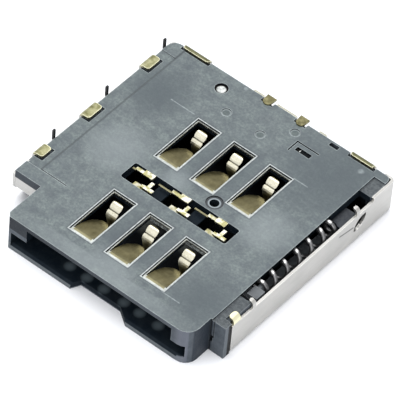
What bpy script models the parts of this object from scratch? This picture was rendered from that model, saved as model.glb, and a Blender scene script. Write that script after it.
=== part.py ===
"""Push-push SIM card socket, modelled with its solder face up and its metal cover down.

Frame: +X runs along the rows of contacts, +Y is the way the card goes in and +Z leaves the
solder face. The origin lies on the cover's outer face, under the middle of the contact grid.
"""

import bpy
import bmesh
from math import asin, cos, degrees, pi, radians, sin
from mathutils import Matrix, Vector

MM = 0.001

# Contact grid
PITCH = 2.54 * MM
ROW_SPACING = 7.2 * MM
COLUMNS = 3

# Card
CARD_WIDTH = 12.0 * MM
CARD_THICKNESS = 0.76 * MM
CARD_SIDE_PLAY = 0.06 * MM
CARD_TOP_PLAY = 0.12 * MM

# Moulded housing
HEIGHT = 2.5 * MM
DECK_THICKNESS = 0.55 * MM
FRONT = -7.05 * MM
BEZEL_WALL = 0.34 * MM
BEZEL_BACK = -4.4 * MM
BEZEL_CORNER = 0.8 * MM
BEZEL_CHAMFER = 0.2 * MM
LIP_THICKNESS = 0.42 * MM
MOUTH_ROOF = 0.28 * MM
MOUTH_ROOF_DEPTH = 0.95 * MM
SHELF_WIDTH = 1.1 * MM
LEFT_EAR_FRONT = -4.27 * MM
LEFT_EAR_DEPTH = 1.05 * MM
LEFT_NICK = 1.17 * MM
EAR_INSET = 0.03 * MM
LEFT_RAIL_FRONT = -2.9 * MM
RIGHT_EAR_FRONT = -5.27 * MM
BACK_WALL = 0.7 * MM
BACK_CORNER = 0.6 * MM
WINDOW_WIDTH = 1.575 * MM
WINDOW_LENGTH = 3.78 * MM

# Rooms and laps: how far helpers pass each other, and play round moulded-in metal
OVERSHOOT = 0.3 * MM
LAP = 0.02 * MM
MOULD_FIT = 0.015 * MM

# Lip notch, where a finger nail reaches the card
NOTCH_LEFT = -1.8 * MM
NOTCH_RIGHT = 2.1 * MM
NOTCH_LEFT_SLANT = 0.3 * MM
NOTCH_RIGHT_SLANT = 0.85 * MM
NOTCH_DEPTH = 0.6 * MM

# Long slot over the spring
SLOT_INSET = 0.43 * MM
SLOT_FRONT = -2.9 * MM
SLOT_REAR_INSET = 2.0 * MM
MARGIN_DROP = 0.1 * MM
MARGIN_INSET = 0.55 * MM

# Slot for the solder tails between the two rows of windows
TAIL_SLOT_LEFT = -3.75 * MM
TAIL_SLOT_RIGHT = 3.6 * MM
TAIL_SLOT_FRONT = -0.72 * MM
TAIL_SLOT_BACK = 0.62 * MM
BRIDGE_WIDTH = 0.75 * MM
BRIDGE_SHIFT = -0.25 * MM
BRIDGE_DROP = 0.42 * MM

# Sheet metal cover
SHEET = 0.15 * MM
BEND = 0.28 * MM
LEFT_SIDE = 2.34 * MM
RIGHT_SIDE = 1.39 * MM
COVER_BACK = 9.45 * MM
COVER_FRONT = -4.72 * MM
COVER_GAP = 0.04 * MM
TAB_PROUD = 0.12 * MM
TAB_CORNER = 0.18 * MM
RIM_DROP = 0.34 * MM
PRONG_RISE = 0.5 * MM
PRONG_WIDTH = 0.18 * MM
BEAD_INSET = 1.66 * MM
BEAD_WIDTH = 0.9 * MM
BEAD_FRONT = -3.9 * MM
BEAD_BACK = 8.1 * MM

# Signal contacts
STRIP = 0.12 * MM
STRIP_DEPTH = 0.1 * MM
ARM_THICKNESS = 0.08 * MM
ARM_DEPTH_LOW = 1.33 * MM
FRAME_MARGIN = 0.16 * MM
FRAME_REVEAL = 0.08 * MM
ROOT_REVEAL = 0.3 * MM
TAIL_HALF = 0.26 * MM

# Slider, spring and cam pin
SLIDER_TRAVEL = 3.6 * MM
SLIDER_CARD_GAP = 0.08 * MM
SLIDER_BOTTOM = 0.45 * MM
SLIDER_TOP = 1.05 * MM
SLIDER_FRONT = -2.4 * MM
SLIDER_BACK_ROOM = 4.8 * MM
SLIDER_FIT = 0.05 * MM
ARM_REACH = 2.31 * MM
ARM_INSET = 1.75 * MM
ARM_DEPTH = 0.8 * MM
SPRING_WIRE = 0.26 * MM
SPRING_COVER = 0.07 * MM
SPRING_COILS = 5.5
SPRING_PHASE = 0.2
SPRING_REST = 0.27 * MM
SEAT_COVER = 0.28 * MM
POST_FRONT = 4.9 * MM
POST_BACK = 6.3 * MM
POST_RISE = 0.03 * MM
SEAT_DEPTH = 0.75 * MM
PIN_WIRE = 0.2 * MM
PIN_PLACE = 0.8 * MM
PIN_PIVOT_INSET = 0.65 * MM
PIN_TIP_INSET = 0.5 * MM
LANE = 0.27 * MM
ISLAND_WIDTH = 0.27 * MM
CAM_DEPTH = 0.4 * MM
SPIGOT_PLAY = 0.05 * MM
SPIGOT_REACH = 0.5 * MM

# Card detect switch
DETECT_STRIP = 0.1 * MM
DETECT_INSET = 1.25 * MM
DETECT_LEG_BOTTOM = 0.62 * MM
DETECT_FEET = (-1.33 * MM, 1.02 * MM)
DETECT_PLATE_LAP = 0.35 * MM
BLADE_HEIGHT = 0.5 * MM
BLADE_RADIUS = 2.75 * MM
BLADE_CENTRE = -1.7 * MM
FOOT_WIDTH = 0.62 * MM
FOOT_SET_BACK = 0.32 * MM
FOOT_DROP = 0.03 * MM

# Shallow marks and holes in the solder face
MARK_DEPTH = 0.05 * MM
RING_Y = 1.27 * MM
RING_RADIUS = 0.5 * MM
RING_HOLE_RADIUS = 0.28 * MM
EJECTOR_RADIUS = 0.3 * MM
SIGHT_HOLE_X = -3.87 * MM
SIGHT_HOLE_INSET = 1.29 * MM
SIGHT_HOLE_RADIUS = 0.4 * MM
SIGHT_SLOT = (2.02 * MM, 3.02 * MM)
SIGHT_SLOT_INSET = 1.85 * MM
SIGHT_SLOT_DEPTH = 0.3 * MM
GROOVE_LEFT = 1.72 * MM
GROOVE_RIGHT = 3.25 * MM
GROOVE_INSET = 1.5 * MM
GROOVE_LENGTH = 0.9 * MM
GROOVE_WIDTH = 0.08 * MM
BACK_NICK = (3.17 * MM, 3.76 * MM)

# Derived places
DECK_BOTTOM = HEIGHT - DECK_THICKNESS
CARD_HALF = CARD_WIDTH / 2 + CARD_SIDE_PLAY
BEZEL_HALF = CARD_HALF + BEZEL_WALL
COVER_LEFT = -CARD_HALF - LEFT_SIDE
COVER_RIGHT = CARD_HALF + RIGHT_SIDE
BEAD_PLACE = CARD_HALF - BEAD_INSET
SLIDER_LEFT = CARD_HALF + SLIDER_CARD_GAP
SLOT_EDGE = CARD_HALF + SLOT_INSET
ARM_TIP = CARD_HALF - ARM_REACH
PIN_PIVOT_X = CARD_HALF + PIN_PLACE
PIN_PIVOT_Y = COVER_BACK - PIN_PIVOT_INSET
SLOT_REAR = COVER_BACK - SLOT_REAR_INSET
SLIDER_BACK = COVER_BACK - SLIDER_BACK_ROOM
ARM_FRONT = SLIDER_BACK - ARM_INSET
PIN_TIP_Y = SLIDER_BACK - PIN_TIP_INSET
SIGHT_HOLE = (SIGHT_HOLE_X, COVER_BACK - SIGHT_HOLE_INSET)
SIGHT_SLOT_BACK = COVER_BACK - SIGHT_SLOT_INSET
GROOVE_BACK = COVER_BACK - GROOVE_INSET
GROOVE_FRONT = GROOVE_BACK - GROOVE_LENGTH
EAR_SIDE = COVER_RIGHT - EAR_INSET
EAR_BACK = COVER_FRONT - COVER_GAP
CARD_ROOF = LIP_THICKNESS + CARD_THICKNESS + CARD_TOP_PLAY
HOUSING_LEFT = COVER_LEFT + SHEET + COVER_GAP
HOUSING_RIGHT = COVER_RIGHT - SHEET - COVER_GAP
HOUSING_BACK = COVER_BACK - SHEET - COVER_GAP
HOUSING_BOTTOM = SHEET + COVER_GAP
TAB_TOP = HEIGHT + TAB_PROUD
TAB_BOTTOM = TAB_TOP - SHEET
FOOT_TOP = TAB_TOP - FOOT_DROP
FOOT_RISER = COVER_BACK - FOOT_SET_BACK
RIM = HEIGHT - RIM_DROP
STRIP_TOP = HEIGHT - STRIP_DEPTH
STRIP_BOTTOM = STRIP_TOP - STRIP
ROWS = (-ROW_SPACING / 2, ROW_SPACING / 2)
COLUMN_PLACES = tuple((i - (COLUMNS - 1) / 2) * PITCH for i in range(COLUMNS))
FRAME_HALF = WINDOW_WIDTH / 2 + FRAME_MARGIN
SPRING_ROOM_HEIGHT = HEIGHT - SPRING_COVER - SLIDER_TOP - SPRING_REST
SPRING_ROOM_WIDTH = RIGHT_SIDE - SHEET - SLIDER_CARD_GAP - 2 * SLIDER_FIT
SPRING_OUTER = min(SPRING_ROOM_HEIGHT, SPRING_ROOM_WIDTH)
SPRING_AXIS_X = COVER_RIGHT - SHEET - SPRING_OUTER / 2 - SLIDER_FIT
SPRING_AXIS_Z = HEIGHT - SPRING_COVER - SPRING_OUTER / 2
SPIGOT = SPRING_OUTER / 2 - SPRING_WIRE - SPIGOT_PLAY
LEG_BACK = COVER_BACK - DETECT_INSET

# The cover's folded tabs in millimetres: (start, end) along their side, with a reach if it varies
REAR = COVER_BACK / MM
LEFT_TABS = ((-2.66, -1.78), (1.28, 2.5), (REAR - 3.05, REAR - 1.95))
PRONGS = (-0.95, 3.55, REAR - 0.9)
BACK_TABS = ((COVER_LEFT / MM + 0.98, COVER_LEFT / MM + 2.82),
             (COVER_RIGHT / MM - 2.95, COVER_RIGHT / MM - 1.3))
RIGHT_TABS = ((-4.62, -4.05, 0.42), (-2.98, -2.72, 0.34), (REAR - 3.43, REAR - 3.17, 0.34))
LEFT_REACH = 0.7 * MM
BACK_REACH = 0.4 * MM
CORNER_RIM = COVER_BACK - 1.95 * MM
CORNER_REACH = 0.7 * MM
BACK_RISES = ((-2.5, -1.75), (-0.85, 0.55), (2.15, 2.65))

# Round marks that the moulding tool's ejector pins leave on the deck, in millimetres
EJECTOR_MARKS = ((-2.51, REAR - 2.52), (-0.09, REAR - 2.55), (1.25, REAR - 1.13))

# The lens-shaped window in the cover's right wall, and the leaf over the latch pin
LATCH_WINDOW = COVER_BACK - 3.08 * MM
LATCH_WINDOW_Z = HEIGHT * 0.565
LENS_LENGTH = 1.34 * MM
LENS_WIDTH = 0.7 * MM
LENS_LEAN = 40
LEAF_FRONT = COVER_BACK - 4.05 * MM
LEAF_BACK = COVER_BACK - 1.65 * MM
LEAF_SLIT = 0.1 * MM


def clear_scene():
    for item in list(bpy.data.objects):
        bpy.data.objects.remove(item, do_unlink=True)


def new_collection(name):
    group = bpy.data.collections.new(name)
    bpy.context.scene.collection.children.link(group)
    return group


def link_object(name, mesh, home):
    item = bpy.data.objects.new(name, mesh)
    home.objects.link(item)
    return item


def mesh_from(name, bm):
    bmesh.ops.recalc_face_normals(bm, faces=bm.faces)
    mesh = bpy.data.meshes.new(name)
    bm.to_mesh(mesh)
    bm.free()
    return mesh


def block(name, low, high, home):
    """A box between two corners."""
    bm = bmesh.new()
    bmesh.ops.create_cube(bm, size=1.0)
    size = [high[i] - low[i] for i in range(3)]
    middle = [(high[i] + low[i]) / 2 for i in range(3)]
    bmesh.ops.scale(bm, vec=size, verts=bm.verts)
    bmesh.ops.translate(bm, vec=middle, verts=bm.verts)
    return link_object(name, mesh_from(name, bm), home)


def prism(name, outline, start, end, home, axis="Z"):
    """A flat outline pushed along an axis. The outline's pair is (x, y), (y, z) or (x, z)."""
    bm = bmesh.new()
    corners = []
    for a, b in outline:
        place = {"Z": (a, b, start), "X": (start, a, b), "Y": (a, start, b)}[axis]
        corners.append(bm.verts.new(place))
    face = bm.faces.new(corners)
    grown = bmesh.ops.extrude_face_region(bm, geom=[face])
    raised = [v for v in grown["geom"] if isinstance(v, bmesh.types.BMVert)]
    step = {"Z": (0, 0, end - start), "X": (end - start, 0, 0), "Y": (0, end - start, 0)}[axis]
    bmesh.ops.translate(bm, vec=step, verts=raised)
    return link_object(name, mesh_from(name, bm), home)


def drum(name, centre, radius, start, end, home, sides=20, axis="Z"):
    """A round cutter or boss along Z or Y."""
    bm = bmesh.new()
    bmesh.ops.create_cone(bm, cap_ends=True, segments=sides, radius1=radius, radius2=radius,
                          depth=end - start)
    if axis == "Y":
        bmesh.ops.rotate(bm, matrix=Matrix.Rotation(pi / 2, 3, "X"), verts=bm.verts)
        place = (centre[0], (start + end) / 2, centre[1])
    else:
        place = (centre[0], centre[1], (start + end) / 2)
    bmesh.ops.translate(bm, vec=place, verts=bm.verts)
    return link_object(name, mesh_from(name, bm), home)


def arc(centre, radius, first, last, steps):
    """Points on an arc, angles in degrees."""
    points = []
    for i in range(steps + 1):
        angle = radians(first + (last - first) * i / steps)
        points.append((centre[0] + radius * cos(angle), centre[1] + radius * sin(angle)))
    return points


def boolean(item, operation, home):
    """Join or cut an object with everything in a collection of helpers."""
    step = item.modifiers.new(operation.lower(), "BOOLEAN")
    step.operation = operation
    step.operand_type = "COLLECTION"
    step.collection = home
    step.solver = "EXACT"
    return step


def helper_collection(name, parent):
    group = bpy.data.collections.new(name)
    parent.children.link(group)
    return group


def material(name, colour, roughness, metallic):
    made = bpy.data.materials.new(name)
    made.use_nodes = True
    shader = made.node_tree.nodes["Principled BSDF"]
    shader.inputs["Base Color"].default_value = (*colour, 1.0)
    shader.inputs["Roughness"].default_value = roughness
    shader.inputs["Metallic"].default_value = metallic
    return made


def housing_outline():
    """The deck seen from above, with both ears and the long slot's edge."""
    left = HOUSING_LEFT
    right = HOUSING_RIGHT
    nick = 0.08 * MM
    points = [(-BEZEL_HALF + BEZEL_CHAMFER, FRONT)]
    points += arc((BEZEL_HALF - BEZEL_CORNER, FRONT + BEZEL_CORNER), BEZEL_CORNER, -90, 0, 5)
    points += [(BEZEL_HALF, RIGHT_EAR_FRONT), (EAR_SIDE, RIGHT_EAR_FRONT), (EAR_SIDE, EAR_BACK)]
    points += [(right, EAR_BACK), (right, SLOT_FRONT), (SLOT_EDGE, SLOT_FRONT)]
    points += [(SLOT_EDGE, SLOT_REAR), (right, SLOT_REAR)]
    corner = (right - BACK_CORNER / 2, HOUSING_BACK - BACK_CORNER / 2)
    points += arc(corner, BACK_CORNER / 2, 0, 90, 3)
    points += arc((left + BACK_CORNER, HOUSING_BACK - BACK_CORNER), BACK_CORNER, 90, 180, 4)
    step = LEFT_EAR_FRONT + LEFT_NICK
    points += [(left, step), (left + nick, step), (left + nick, step - 3 * nick)]
    points += [(left, step - 3 * nick), (left, LEFT_EAR_FRONT)]
    points += [(-BEZEL_HALF, LEFT_EAR_FRONT), (-BEZEL_HALF, FRONT + BEZEL_CHAMFER * 1.2)]
    return points


def bezel_outline():
    """The protruding front frame seen from above."""
    points = [(-BEZEL_HALF + BEZEL_CHAMFER, FRONT)]
    points += arc((BEZEL_HALF - BEZEL_CORNER, FRONT + BEZEL_CORNER), BEZEL_CORNER, -90, 0, 5)
    points += [(BEZEL_HALF, BEZEL_BACK), (-BEZEL_HALF, BEZEL_BACK)]
    points += [(-BEZEL_HALF, FRONT + BEZEL_CHAMFER * 1.2)]
    return points


def window_box(column, row):
    return (column - WINDOW_WIDTH / 2, row - WINDOW_LENGTH / 2,
            column + WINDOW_WIDTH / 2, row + WINDOW_LENGTH / 2)


def frame_reach(row):
    """Front and back ends of a contact's frame, which the housing grips."""
    return (row - WINDOW_LENGTH / 2 - 0.4 * MM, row + WINDOW_LENGTH / 2 + 0.2 * MM)


def tail_reach(row):
    """The stretch of strip from a contact's frame to the tail slot."""
    front, back = frame_reach(row)
    if row > 0:
        return (TAIL_SLOT_BACK - 0.2 * MM, front + 0.05 * MM)
    return (back - 0.05 * MM, TAIL_SLOT_FRONT + 0.2 * MM)


def add_housing_forms(home):
    """Everything below the deck that is moulded in one piece with it."""
    sink = 0.1 * MM
    top = DECK_BOTTOM + sink
    prism("bezel_body", bezel_outline(), 0.0, top, home)
    block("right_ear_body", (BEZEL_HALF - 0.2 * MM, RIGHT_EAR_FRONT, 0.0),
          (EAR_SIDE, EAR_BACK, top), home)
    block("slider_guide", (SLIDER_LEFT, EAR_BACK - 0.1 * MM, HOUSING_BOTTOM),
          (HOUSING_RIGHT, SLOT_FRONT, top), home)
    block("slider_guide_foot", (BEZEL_HALF - 0.3 * MM, BEZEL_BACK - 0.4 * MM, HOUSING_BOTTOM),
          (HOUSING_RIGHT, SLOT_FRONT, top - 0.01 * MM), home)
    block("left_rail", (HOUSING_LEFT, LEFT_RAIL_FRONT, HOUSING_BOTTOM),
          (-CARD_HALF, HOUSING_BACK - BACK_CORNER, top), home)
    block("left_shelf", (-CARD_HALF - 0.2 * MM, BEZEL_BACK - 0.2 * MM, CARD_ROOF),
          (-CARD_HALF + SHELF_WIDTH, HOUSING_BACK - BACK_WALL / 2, top), home)
    block("right_shelf", (CARD_HALF - SHELF_WIDTH + 0.2 * MM, BEZEL_BACK - 0.2 * MM, CARD_ROOF),
          (CARD_HALF, HOUSING_BACK - BACK_WALL / 2, top), home)
    block("back_wall", (HOUSING_LEFT + BACK_CORNER, HOUSING_BACK - BACK_WALL, HOUSING_BOTTOM),
          (HOUSING_RIGHT - BACK_CORNER / 2, HOUSING_BACK, top), home)
    block("left_back_corner", (HOUSING_LEFT, HOUSING_BACK - BACK_WALL - 0.3 * MM, HOUSING_BOTTOM),
          (-CARD_HALF, HOUSING_BACK - BACK_CORNER, top), home)
    block("pin_block", (SLIDER_LEFT, SLIDER_BACK + SLIDER_TRAVEL + 0.1 * MM, HOUSING_BOTTOM),
          (HOUSING_RIGHT, HOUSING_BACK - BACK_CORNER / 2, top), home)
    block("spring_post", (SLIDER_LEFT + 0.1 * MM, POST_FRONT, SLIDER_TOP + 0.08 * MM),
          (HOUSING_RIGHT, POST_BACK, SPRING_AXIS_Z + POST_RISE), home)
    block("post_neck", (SLIDER_LEFT + 0.12 * MM, POST_FRONT + LAP, DECK_BOTTOM - 0.2 * MM),
          (SLOT_EDGE - LAP, POST_BACK - LAP, top), home)
    drum("spring_spigot", (SPRING_AXIS_X, SPRING_AXIS_Z), SPIGOT, POST_FRONT - SPIGOT_REACH - SLIDER_FIT,
         POST_FRONT + LAP, home, 12, "Y")


def add_mouth_cuts(home):
    """The card's way in: the slot itself, the room over it and the lip's notch."""
    out = FRONT - OVERSHOOT
    block("card_slot", (-CARD_HALF, out, LIP_THICKNESS),
          (CARD_HALF, BEZEL_BACK + 0.2 * MM, CARD_ROOF), home)
    left = -CARD_HALF + SHELF_WIDTH
    right = CARD_HALF - SHELF_WIDTH + 0.2 * MM
    block("mouth_roof", (left, out, CARD_ROOF - 0.05 * MM),
          (right, FRONT + MOUTH_ROOF_DEPTH, HEIGHT - MOUTH_ROOF), home)
    block("spring_room", (left, out, CARD_ROOF - 0.04 * MM),
          (right, BEZEL_BACK + 0.2 * MM, DECK_BOTTOM), home)
    grow = OVERSHOOT / NOTCH_DEPTH
    outline = [(NOTCH_LEFT - NOTCH_LEFT_SLANT * grow, out), (NOTCH_RIGHT + NOTCH_RIGHT_SLANT * grow, out)]
    outline += [(NOTCH_RIGHT - NOTCH_RIGHT_SLANT, FRONT + NOTCH_DEPTH)]
    outline += [(NOTCH_LEFT + NOTCH_LEFT_SLANT, FRONT + NOTCH_DEPTH)]
    prism("lip_notch", outline, -OVERSHOOT, LIP_THICKNESS + 0.1 * MM, home)
    ramp = 0.16 * MM
    slope = [(out, LIP_THICKNESS + 0.05 * MM), (out, LIP_THICKNESS - ramp - OVERSHOOT)]
    slope += [(FRONT + ramp + 0.05 * MM, LIP_THICKNESS + 0.05 * MM)]
    prism("lip_ramp", slope, -CARD_HALF, CARD_HALF, home, "X")


def add_deck_cuts(home):
    """Windows, the tail slot, holes and shallow marks in the solder face."""
    above = HEIGHT + OVERSHOOT
    below = DECK_BOTTOM - 0.15 * MM
    for row in ROWS:
        for column in COLUMN_PLACES:
            x0, y0, x1, y1 = window_box(column, row)
            block("window", (x0, y0, below), (x1, y1, above), home)
            front, back = frame_reach(row)
            low = (column - FRAME_HALF - MOULD_FIT, front - MOULD_FIT, STRIP_BOTTOM - MOULD_FIT)
            high = (column + FRAME_HALF + MOULD_FIT, back + MOULD_FIT, STRIP_TOP + MOULD_FIT)
            block("frame_pocket", low, high, home)
            start, end = tail_reach(row)
            low = (column - TAIL_HALF - MOULD_FIT, start, STRIP_BOTTOM - MOULD_FIT)
            high = (column + TAIL_HALF + MOULD_FIT, end, STRIP_TOP + MOULD_FIT)
            block("tail_pocket", low, high, home)
    drum("spring_relief", (SPRING_AXIS_X, SPRING_AXIS_Z), SPRING_OUTER / 2 + SLIDER_FIT, SLOT_FRONT - LAP,
         POST_FRONT - 0.01 * MM, home, 28, "Y")
    block("margin_step", (SLOT_EDGE, RIGHT_EAR_FRONT - OVERSHOOT, HEIGHT - MARGIN_DROP),
          (HOUSING_RIGHT + OVERSHOOT, HOUSING_BACK - MARGIN_INSET, above), home)
    round_end = 0.15 * MM
    slot = []
    slot += arc((TAIL_SLOT_LEFT + round_end, TAIL_SLOT_FRONT + round_end), round_end, 180, 270, 3)
    slot += arc((TAIL_SLOT_RIGHT - round_end, TAIL_SLOT_FRONT + round_end), round_end, 270, 360, 3)
    slot += arc((TAIL_SLOT_RIGHT - round_end, TAIL_SLOT_BACK - round_end), round_end, 0, 90, 3)
    slot += arc((TAIL_SLOT_LEFT + round_end, TAIL_SLOT_BACK - round_end), round_end, 90, 180, 3)
    prism("tail_slot", slot, HEIGHT - BRIDGE_DROP, above, home)
    edges = [TAIL_SLOT_LEFT + 0.05 * MM]
    for i in range(COLUMNS - 1):
        middle = (COLUMN_PLACES[i] + COLUMN_PLACES[i + 1]) / 2 + BRIDGE_SHIFT
        edges += [middle - BRIDGE_WIDTH / 2, middle + BRIDGE_WIDTH / 2]
    edges += [TAIL_SLOT_RIGHT - 0.05 * MM]
    for start, end in zip(edges[0::2], edges[1::2]):
        block("tail_well", (start, TAIL_SLOT_FRONT + LAP, below),
              (end, TAIL_SLOT_BACK - LAP, HEIGHT - BRIDGE_DROP + 0.05 * MM), home)
    ring = (PITCH / 2, RING_Y)
    drum("ring_recess", ring, RING_RADIUS, HEIGHT - MARK_DEPTH - 0.01 * MM, above, home, 24)
    drum("ring_hole", ring, RING_HOLE_RADIUS, below, HEIGHT - MARK_DEPTH, home, 20)
    for x, y in EJECTOR_MARKS:
        drum("ejector_mark", (x * MM, y * MM), EJECTOR_RADIUS, HEIGHT - MARK_DEPTH, above, home, 18)
    strip_edge = HOUSING_LEFT + 1.0 * MM
    step_front = LEFT_EAR_FRONT + 0.95 * MM
    block("edge_step", (HOUSING_LEFT - OVERSHOOT, step_front, HEIGHT - MARK_DEPTH),
          (strip_edge, HOUSING_BACK - 1.05 * MM, above), home)
    block("ear_groove", (strip_edge - LAP, step_front, HEIGHT - 0.04 * MM),
          (strip_edge + 1.8 * MM, step_front + GROOVE_WIDTH, above), home)


def add_tab_pockets(home):
    """Rooms in the deck's rim, which the cover's folded tabs drop into."""
    above = HEIGHT + OVERSHOOT
    room = 0.09 * MM
    floor = TAB_BOTTOM - 0.16 * MM
    for start, end in LEFT_TABS:
        block("tab_room", (HOUSING_LEFT - OVERSHOOT, start * MM - room, floor),
              (COVER_LEFT + LEFT_REACH + room, end * MM + room, above), home)
    for start, end in BACK_TABS:
        block("tab_room", (start * MM - room, COVER_BACK - BACK_REACH - room, floor),
              (end * MM + room, HOUSING_BACK + OVERSHOOT, above), home)
    for start, end, reach in RIGHT_TABS[:1]:
        block("tab_room", (COVER_RIGHT - reach * MM - room, start * MM - room, floor),
              (COVER_RIGHT + OVERSHOOT, end * MM + room, above), home)
    for centre in DETECT_FEET:
        half = FOOT_WIDTH / 2 + room
        block("foot_room", (centre - half, COVER_BACK - 0.5 * MM, STRIP_BOTTOM - 0.05 * MM),
              (centre + half, HOUSING_BACK + OVERSHOOT, above), home)


def add_ear_cuts(home):
    """The small pocket and the seam in the right ear's front, next to the bezel."""
    front = RIGHT_EAR_FRONT - OVERSHOOT
    block("ear_pocket", (BEZEL_HALF + 0.02 * MM, front, 0.75 * MM),
          (BEZEL_HALF + 0.22 * MM, RIGHT_EAR_FRONT + 0.25 * MM, 1.25 * MM), home)
    block("ear_seam", (BEZEL_HALF + 0.22 * MM, front, 1.1 * MM),
          (BEZEL_HALF + 0.3 * MM, RIGHT_EAR_FRONT + 0.06 * MM, HEIGHT + OVERSHOOT), home)


def add_rear_cuts(home):
    """The marks near the back edge, the switch's seats and the cam pin's pivot hole."""
    above = HEIGHT + OVERSHOOT
    drum("sight_hole", SIGHT_HOLE, SIGHT_HOLE_RADIUS, STRIP_TOP - LAP, above, home, 24)
    block("sight_slot", (SIGHT_SLOT[0], SIGHT_SLOT_BACK - SIGHT_SLOT_DEPTH, STRIP_TOP - LAP),
          (SIGHT_SLOT[1], SIGHT_SLOT_BACK, above), home)
    floor = HEIGHT - MARK_DEPTH - LAP
    block("mark_groove_side", (GROOVE_LEFT, GROOVE_FRONT, floor),
          (GROOVE_LEFT + GROOVE_WIDTH, GROOVE_BACK - LAP, above), home)
    block("mark_groove_back", (GROOVE_LEFT, GROOVE_BACK - GROOVE_WIDTH, floor),
          (GROOVE_RIGHT, GROOVE_BACK, above), home)
    block("back_nick", (BACK_NICK[0], HOUSING_BACK - 0.4 * MM, HEIGHT - 0.3 * MM),
          (BACK_NICK[1], HOUSING_BACK - 0.12 * MM, above), home)
    drum("pivot_hole", (PIN_PIVOT_X, PIN_PIVOT_Y), PIN_WIRE / 2 + 0.04 * MM, 0.0,
         CAM_DEPTH + SLIDER_BOTTOM + 0.1 * MM, home, 16)
    block("pin_channel", (PIN_PIVOT_X - LANE * 2.6, SLIDER_BACK + SLIDER_TRAVEL, 0.0),
          (PIN_PIVOT_X + LANE * 0.6, PIN_PIVOT_Y + 0.1 * MM, SLIDER_BOTTOM - LAP), home)
    for (x0, y0, z0), (x1, y1, z1) in detect_rooms():
        block("switch_room", (x0, y0, z0), (x1, y1, z1), home)


def detect_plates():
    """The two buried plates of the switch: (low, high) corners."""
    back = LEG_BACK + DETECT_PLATE_LAP
    bottom = STRIP_TOP - DETECT_STRIP
    fixed = ((-4.4 * MM, LEG_BACK - 0.5 * MM, bottom), (-1.05 * MM, back, STRIP_TOP))
    moving = ((0.72 * MM, LEG_BACK - 0.78 * MM, bottom), (2.3 * MM, back, STRIP_TOP))
    return fixed, moving


def detect_legs():
    """The legs that hang from those plates into the card's room."""
    top = STRIP_TOP - LAP
    back = LEG_BACK + DETECT_STRIP
    fixed = ((-4.3 * MM, LEG_BACK, DETECT_LEG_BOTTOM), (-3.5 * MM, back, top))
    moving = ((0.82 * MM, LEG_BACK, DETECT_LEG_BOTTOM), (1.42 * MM, back, top))
    return fixed, moving


def detect_necks():
    """Strips from the plates to the feet at the back edge."""
    necks = []
    for centre in DETECT_FEET:
        half = FOOT_WIDTH / 2 - 0.08 * MM
        low = (centre - half, LEG_BACK + DETECT_PLATE_LAP - 0.1 * MM, STRIP_TOP - DETECT_STRIP)
        necks.append((low, (centre + half, FOOT_RISER, STRIP_TOP)))
    return necks


def detect_rooms():
    grow = MOULD_FIT
    rooms = []
    for low, high in detect_plates() + detect_legs() + tuple(detect_necks()):
        rooms.append((tuple(v - grow for v in low), tuple(v + grow for v in high)))
    return rooms


def make_housing(parts, cutters, finish):
    body = prism("housing", housing_outline(), DECK_BOTTOM, HEIGHT, parts)
    forms = helper_collection("housing_forms", cutters)
    add_housing_forms(forms)
    boolean(body, "UNION", forms)
    cuts = helper_collection("housing_cuts", cutters)
    add_mouth_cuts(cuts)
    add_deck_cuts(cuts)
    add_tab_pockets(cuts)
    add_ear_cuts(cuts)
    add_rear_cuts(cuts)
    boolean(body, "DIFFERENCE", cuts)
    body.data.materials.append(finish)
    return body


def tab_detour(side, start, end, reach):
    """The way round one folded tab, seen from above, going round the cover anticlockwise."""
    out = OVERSHOOT
    r = TAB_CORNER
    if side == "left":
        far = COVER_LEFT - out
        tip = COVER_LEFT + reach
        path = [(far, end)] + arc((tip - r, end - r), r, 90, 0, 3)
        return path + arc((tip - r, start + r), r, 0, -90, 3) + [(far, start)]
    if side == "right":
        r = min(r, reach / 2, (end - start) / 3)
        far = COVER_RIGHT + out
        tip = COVER_RIGHT - reach
        path = [(far, start)] + arc((tip + r, start + r), r, 270, 180, 3)
        return path + arc((tip + r, end - r), r, 180, 90, 3) + [(far, end)]
    far = COVER_BACK + out
    tip = COVER_BACK - reach
    path = [(end, far)] + arc((end - r, tip + r), r, 0, -90, 3)
    return path + arc((start + r, tip + r), r, 270, 180, 3) + [(start, far)]


def trim_outline():
    """All of the folded rim that is cut away, which leaves the tabs."""
    out = OVERSHOOT
    points = [(COVER_LEFT - out, COVER_FRONT - out), (COVER_RIGHT + out, COVER_FRONT - out)]
    for start, end, reach in RIGHT_TABS:
        points += tab_detour("right", start * MM, end * MM, reach * MM)
    points += [(COVER_RIGHT + out, CORNER_RIM), (COVER_RIGHT - CORNER_REACH, CORNER_RIM)]
    points += [(COVER_RIGHT - CORNER_REACH, COVER_BACK + out)]
    for start, end in reversed(BACK_TABS):
        points += tab_detour("back", start * MM, end * MM, BACK_REACH)
    points += [(COVER_LEFT - out, COVER_BACK + out)]
    for start, end in reversed(LEFT_TABS):
        points += tab_detour("left", start * MM, end * MM, LEFT_REACH)
    return points


def lens_outline():
    """A lens with pointed ends, leaning towards the back, as (y, z) points."""
    bow = (LENS_LENGTH ** 2 + LENS_WIDTH ** 2) / (4 * LENS_WIDTH)
    shift = bow - LENS_WIDTH / 2
    half_angle = degrees(asin(LENS_LENGTH / 2 / bow))
    points = arc((0, shift), bow, 270 - half_angle, 270 + half_angle, 7)
    points += arc((0, -shift), bow, 90 - half_angle, 90 + half_angle, 7)[1:-1]
    lean = radians(LENS_LEAN)
    turned = []
    for a, b in points:
        turned.append((LATCH_WINDOW + a * cos(lean) - b * sin(lean),
                       LATCH_WINDOW_Z + a * sin(lean) + b * cos(lean)))
    return turned


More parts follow.
